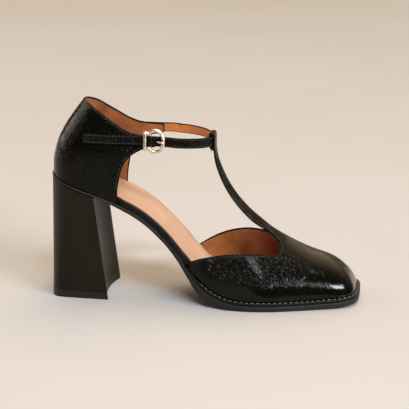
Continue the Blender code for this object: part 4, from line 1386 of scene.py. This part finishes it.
def new_tree(name, inputs):
    """A tree whose inputs are a path, the given ones and a finish, with its first and last stops."""
    tree = bpy.data.node_groups.new(name, "GeometryNodeTree")
    titles = [("Geometry", "Geometry", None), *inputs, ("Finish", "Material", None)]
    for title, kind, value in titles:
        socket = tree.interface.new_socket(title, in_out="INPUT", socket_type="NodeSocket" + kind)
        if value is not None:
            socket.default_value = value
    tree.interface.new_socket("Geometry", in_out="OUTPUT", socket_type="NodeSocketGeometry")
    given, result = add(tree, "NodeGroupInput"), add(tree, "NodeGroupOutput")
    real = add(tree, "GeometryNodeRealizeInstances")
    paint = add(tree, "GeometryNodeSetMaterial")
    chain(tree, (None, given, "Finish"), ("Material", paint, None))
    path = add(tree, "GeometryNodeMeshToCurve")
    even = add(tree, "GeometryNodeResampleCurve", {"mode": "LENGTH"})
    chain(tree, (None, given, inputs[0][0]), ("Length", even, None))
    first = ((None, given, "Geometry"), ("Mesh", path, "Curve"), ("Curve", even, "Curve"))
    last = (("Geometry", real, "Geometry"), ("Geometry", paint, "Geometry"), ("Geometry", result, None))
    return tree, given, first, last


def wire_tree():
    inputs = [("Step", "Float", 0.0004), ("Radius", "Float", 0.001)]
    tree, given, first, last = new_tree("bent wire", inputs)
    circle = add(tree, "GeometryNodeCurvePrimitiveCircle", {}, {"Resolution": 14})
    sweep = add(tree, "GeometryNodeCurveToMesh", {}, {"Fill Caps": True})
    smooth = add(tree, "GeometryNodeSetShadeSmooth")
    chain(tree, *first, ("Curve", sweep, "Mesh"), ("Geometry", smooth, "Geometry"), *last)
    chain(tree, (None, given, "Radius"), ("Radius", circle, "Curve"), ("Profile Curve", sweep, None))
    return tree


def path_mesh(name, points, closed=False, outs=None, breaks=()):
    """A line of points as a mesh of edges. outs keeps a direction at each point, breaks starts new lines."""
    mesh = bpy.data.meshes.new(name)
    edges = [(i, i + 1) for i in range(len(points) - 1) if i + 1 not in breaks]
    if closed:
        edges.append((len(points) - 1, 0))
    mesh.from_pydata([(float(p[0]) - TREAD_X, float(p[1]), float(p[2])) for p in points], edges, [])
    if outs is not None:
        kept = mesh.attributes.new("out", "FLOAT_VECTOR", "POINT")
        for place, out in enumerate(outs):
            kept.data[place].vector = tuple(map(float, out))
    return mesh


def grown(name, mesh, tree, values):
    """The mesh that a tree makes from a path, as an object with no modifier left on it."""
    seed = put(name + "_path", mesh)
    modifier = seed.modifiers.new("Tree", "NODES")
    modifier.node_group = tree
    sockets = {item.name: item.identifier for item in tree.interface.items_tree if item.in_out == "INPUT"}
    for title, value in values.items():
        modifier[sockets[title]] = value
    result = bpy.data.meshes.new_from_object(seed.evaluated_get(bpy.context.evaluated_depsgraph_get()))
    bpy.data.objects.remove(seed)
    result.name = name
    return put(name, result)


WIRES = wire_tree()
print("bent wire:", len(WIRES.nodes), "nodes")

# %% [markdown]
# Each wire is grown from its path. The ring and its bar stand for the frame's solid together, and the prong
# for its own.

# %% Buckle
HINGE_WIRE = 0.0008


def wire(name, points, radius, closed=False):
    return grown(name, path_mesh(name, points, closed), WIRES, {"Radius": radius, "Finish": GOLD})


dress(wire("buckle_ring", buckle_ring_points(), WIRE, True), "buckle", "buckle_frame")
dress(wire("buckle_hinge_bar", buckle_hinge_points(), HINGE_WIRE), "buckle")
dress(wire("buckle_tongue", buckle_prong_points(), PRONG), "buckle", "buckle_prong")

# %% [markdown]
# Stitches are one small bead of thread, repeated along a line at an even pitch and turned to lie along it,
# flat on the leather. That is a textbook task for Geometry Nodes: resample the line, put an instance on each
# point, align one axis to the line's tangent and another to the leather's outward direction, then make the
# instances real, because an export drops them.

# %% A tree for stitches
def stitch_tree():
    inputs = [("Pitch", "Float", 0.0023), ("Size", "Vector", (0.0008, 0.0003, 0.0002))]
    tree, given, first, last = new_tree("stitches", inputs)
    bead = add(tree, "GeometryNodeMeshUVSphere", {}, {"Segments": 8, "Rings": 6, "Radius": 1.0})
    sized = add(tree, "GeometryNodeTransform")
    smooth = add(tree, "GeometryNodeSetShadeSmooth")
    tangent = add(tree, "GeometryNodeInputTangent")
    out = add(tree, "GeometryNodeInputNamedAttribute", {"data_type": "FLOAT_VECTOR"}, {"Name": "out"})
    lie = add(tree, "FunctionNodeAlignRotationToVector", {"axis": "X"})
    stand = add(tree, "FunctionNodeAlignRotationToVector", {"axis": "Z", "pivot_axis": "X"})
    sow = add(tree, "GeometryNodeInstanceOnPoints")
    shaped = (("Geometry", sized, "Geometry"), ("Geometry", smooth, "Geometry"))
    turned = (("Vector", lie, "Rotation"), ("Rotation", stand, "Rotation"))
    chain(tree, *first, ("Points", sow, "Instances"), *last)
    chain(tree, (None, bead, "Mesh"), *shaped, ("Instance", sow, None))
    chain(tree, (None, given, "Size"), ("Scale", sized, None))
    chain(tree, (None, tangent, "Tangent"), *turned, ("Rotation", sow, None))
    chain(tree, (None, out, "Attribute"), ("Vector", stand, None))
    return tree


STITCHES = stitch_tree()
print("stitches:", len(STITCHES.nodes), "nodes")

# %% [markdown]
# A seam on the upper runs beside an open edge, so its line comes from the edge loops that the wall kept. Each
# point is stepped in from the edge and brought onto the leather by the nearest face of the finished mesh.

# %% Stitches on the upper
EDGE_TO_SEAM, THREAD_LIFT = 0.0017, 0.00006
UPPER_STITCH = {"Pitch": 0.0023, "Size": (0.00082, 0.00026, 0.00020), "Finish": BLACK_THREAD}
FOLD_SEAM_TO, QUARTER_SEAM_FROM = 0.1165, 0.088  # heights where the two seams stop and start


def seam_beside(obj, loop, wanted):
    """Runs of points beside an open edge, brought onto the leather's outer face."""
    faces = [list(p.vertices) for p in obj.data.polygons]
    tree = BVHTree.FromPolygons([v.co.copy() for v in obj.data.vertices], faces)
    shift = Vector((-TREAD_X, 0.0, 0.0))
    flags = [wanted(co) for co, _, _ in loop]
    start = next((i for i, flag in enumerate(flags) if flag and not flags[i - 1]), 0)
    points, outs, breaks = [], [], set()
    for step in range(len(loop)):
        i = (start + step) % len(loop)
        if not flags[i]:
            continue
        if points and not flags[i - 1]:
            breaks.add(len(points))
        co, out, normal = loop[i]
        near = co - out * EDGE_TO_SEAM + normal * 0.0008 + shift
        hit, face_normal, _, _ = tree.find_nearest(near)
        points.append(tuple(hit + face_normal * THREAD_LIFT - shift))
        outs.append(tuple(face_normal))
    return points, outs, breaks


def sew_upper(name, obj, loops, wanted):
    for loop in loops:
        points, outs, breaks = seam_beside(obj, loop, wanted)
        if len(points) > 3:
            line = path_mesh(name, points, False, outs, breaks)
            dress(grown(name, line, STITCHES, UPPER_STITCH), "patent_upper")


def vamp_seam_here(co):
    return not near_feather(co) and co.z < FOLD_SEAM_TO and co.x > VAMP_TOP_FROM + 0.001


def quarter_seam_here(co):
    return not near_feather(co) and co.z > QUARTER_SEAM_FROM


sew_upper("vamp_stitches", vamp, vamp_edges, vamp_seam_here)
sew_upper("quarter_stitches", quarter, quarter_edges, quarter_seam_here)

# %% [markdown]
# The ankle strap has a row of stitches along each edge. The welt's row is longer, thicker and grey, and it is
# the one that shows as light dashes round the forefoot.

# %% Stitches on the ankle strap and the welt
STRAP_SEAM_IN, STRAP_SEAM_FROM = 0.0012, 0.0022  # in from the strap's edge, and on from its tip
WELT_STITCH = {"Pitch": 0.0042, "Size": (0.00145, 0.00042, 0.00040), "Finish": GREY_THREAD}
WELT_SEAM_FROM, WELT_SEAM_OUT, WELT_SEAM_LIFT = 0.118, 0.0012, 0.00012


def strap_seam(sign):
    points, outs = [], []
    for centre, out, rise, half, gone in strap_path_made:
        if gone < STRAP_SEAM_FROM or half < 0.45 * STRAP_WIDTH:
            continue
        across = sign * (half - STRAP_SEAM_IN)
        points.append(centre + rise * across + out * (STRAP_THICK / 2 + 0.00001))
        outs.append(out)
    return points, outs


upper_line, upper_outs = strap_seam(1)
lower_line, lower_outs = strap_seam(-1)
both = path_mesh("strap seams", upper_line + lower_line, False, upper_outs + lower_outs, {len(upper_line)})
dress(grown("ankle_strap_stitches", both, STITCHES, UPPER_STITCH), "patent_upper")


def welt_seam():
    points, outs = [], []
    for side, a in round_the_toe(WELT_SEAM_FROM):
        x, y = outline(side, a, WELT_SEAM_OUT)
        points.append((x, y, under(x, feather_depth(x) + GAP) + WELT_SEAM_LIFT))
        outs.append((0.0, 0.0, 1.0))
    return points, outs


welt_line, welt_outs = welt_seam()
welt_path = path_mesh("welt seam", welt_line, False, welt_outs)
dress(grown("welt_stitches", welt_path, STITCHES, WELT_STITCH), "welt")

# %% [markdown]
# The scene is a plain warm floor. Its colour varies a little in wide clouds, so that it isn't dead flat.

# %% Floor
def floor_finish():
    finish = Finish("warm_floor", Roughness=0.85)
    place = finish.place()
    clouds = finish.noise(place, 3.0, 3.0)
    colour = finish.blend(finish.between(clouds, 0.3, 0.7), (0.428, 0.410, 0.402), (0.446, 0.428, 0.420))
    return finish.into(Base_Color=colour)


FLOOR = 14.0  # half of its side
corners = [(-FLOOR, -FLOOR, 0), (FLOOR, -FLOOR, 0), (FLOOR, FLOOR, 0), (-FLOOR, FLOOR, 0)]
floor_mesh = bpy.data.meshes.new("floor")
floor_mesh.from_pydata(corners, [], [(0, 1, 2, 3)])
floor_mesh.materials.append(floor_finish())
floor = put("floor", floor_mesh)
print("floor:", 2 * FLOOR, "m square")

# %% [markdown]
# Soft studio light. A long strip light to the right, beyond the toe, draws the crisp streak along the vamp,
# and a second one, high in front, lights the sock and the wrinkles. A wide warm light on the left gives the
# heel's soft edge. The sky is brightest overhead and a little behind the shoe, and fills the shadows with
# the floor's own warm colour.

# %% Light
def area_light(name, place, aim, width, height, watts, colour):
    light = bpy.data.lights.new(name, "AREA")
    light.shape, light.size, light.size_y = "RECTANGLE", width, height
    light.energy, light.color = watts, colour
    obj = put(name, light)
    obj.location = place
    obj.rotation_euler = (Vector(aim) - Vector(place)).to_track_quat("-Z", "Y").to_euler()
    obj.visible_camera = False


area_light("window", (3.02, -2.16, 1.84), (0.18, 0.0, 0.02), 2.20, 0.52, 185.0, (0.92, 0.96, 1.0))
area_light("front", (0.57, -2.37, 3.37), (0.12, 0.0, 0.0), 1.70, 0.50, 100.0, (0.88, 0.93, 1.0))
area_light("side", (-2.2, 0.50, 0.92), (0.0, 0.0, 0.08), 1.9, 1.4, 26.0, (1.0, 0.93, 0.84))
BRIGHTEST_WAY = (0.14, 0.50, 0.854)
SKY_BANDS = [
    (0.0, (0.09, 0.076, 0.057)),
    (0.45, (0.12, 0.10, 0.075)),
    (0.70, (0.35, 0.275, 0.19)),
    (0.88, (1.80, 1.38, 0.92)),
    (1.0, (3.30, 2.55, 1.68)),
]
world = bpy.data.worlds.new("studio")
world.use_nodes = True
sky = world.node_tree
background = sky.nodes["Background"]
facing = sky.nodes.new("ShaderNodeTexCoord")
tilted = sky.nodes.new("ShaderNodeVectorMath")
tilted.operation = "DOT_PRODUCT"
tilted.inputs[1].default_value = BRIGHTEST_WAY
bands = sky.nodes.new("ShaderNodeValToRGB")
for _ in range(len(SKY_BANDS) - 2):
    bands.color_ramp.elements.new(0.5)
for element, (place, colour) in zip(bands.color_ramp.elements, SKY_BANDS):
    element.position = place
    element.color = (*colour, 1.0)
sky.links.new(facing.outputs["Generated"], tilted.inputs[0])
sky.links.new(tilted.outputs["Value"], bands.inputs["Fac"])
sky.links.new(bands.outputs["Color"], background.inputs["Color"])
bpy.context.scene.world = world
bpy.context.scene.view_settings.view_transform = "Standard"
print("lights:", ", ".join(sorted(light.name for light in bpy.data.lights)))

# %% [markdown]
# The camera stands where the photograph's did, low and in front of the shoe's outer side. It turns to the
# shoe's middle and its lens is longer, so the shoe fills the frame and keeps its perspective.

# %% Camera
CAMERA_AT = Vector((0.2178, -1.0169, 0.3608))
VIEW_LINE = Vector((-0.1152, 0.958, -0.2724))
LENS = 121.0
camera_data = bpy.data.cameras.new("camera")
camera_data.lens = LENS
camera_data.clip_start = 0.05
camera = put("camera", camera_data)
camera.location = CAMERA_AT
camera.rotation_euler = VIEW_LINE.to_track_quat("-Z", "Y").to_euler()
bpy.context.scene.camera = camera
print(f"camera: {LENS:.0f} mm lens, {CAMERA_AT.length:.2f} m from the heel")
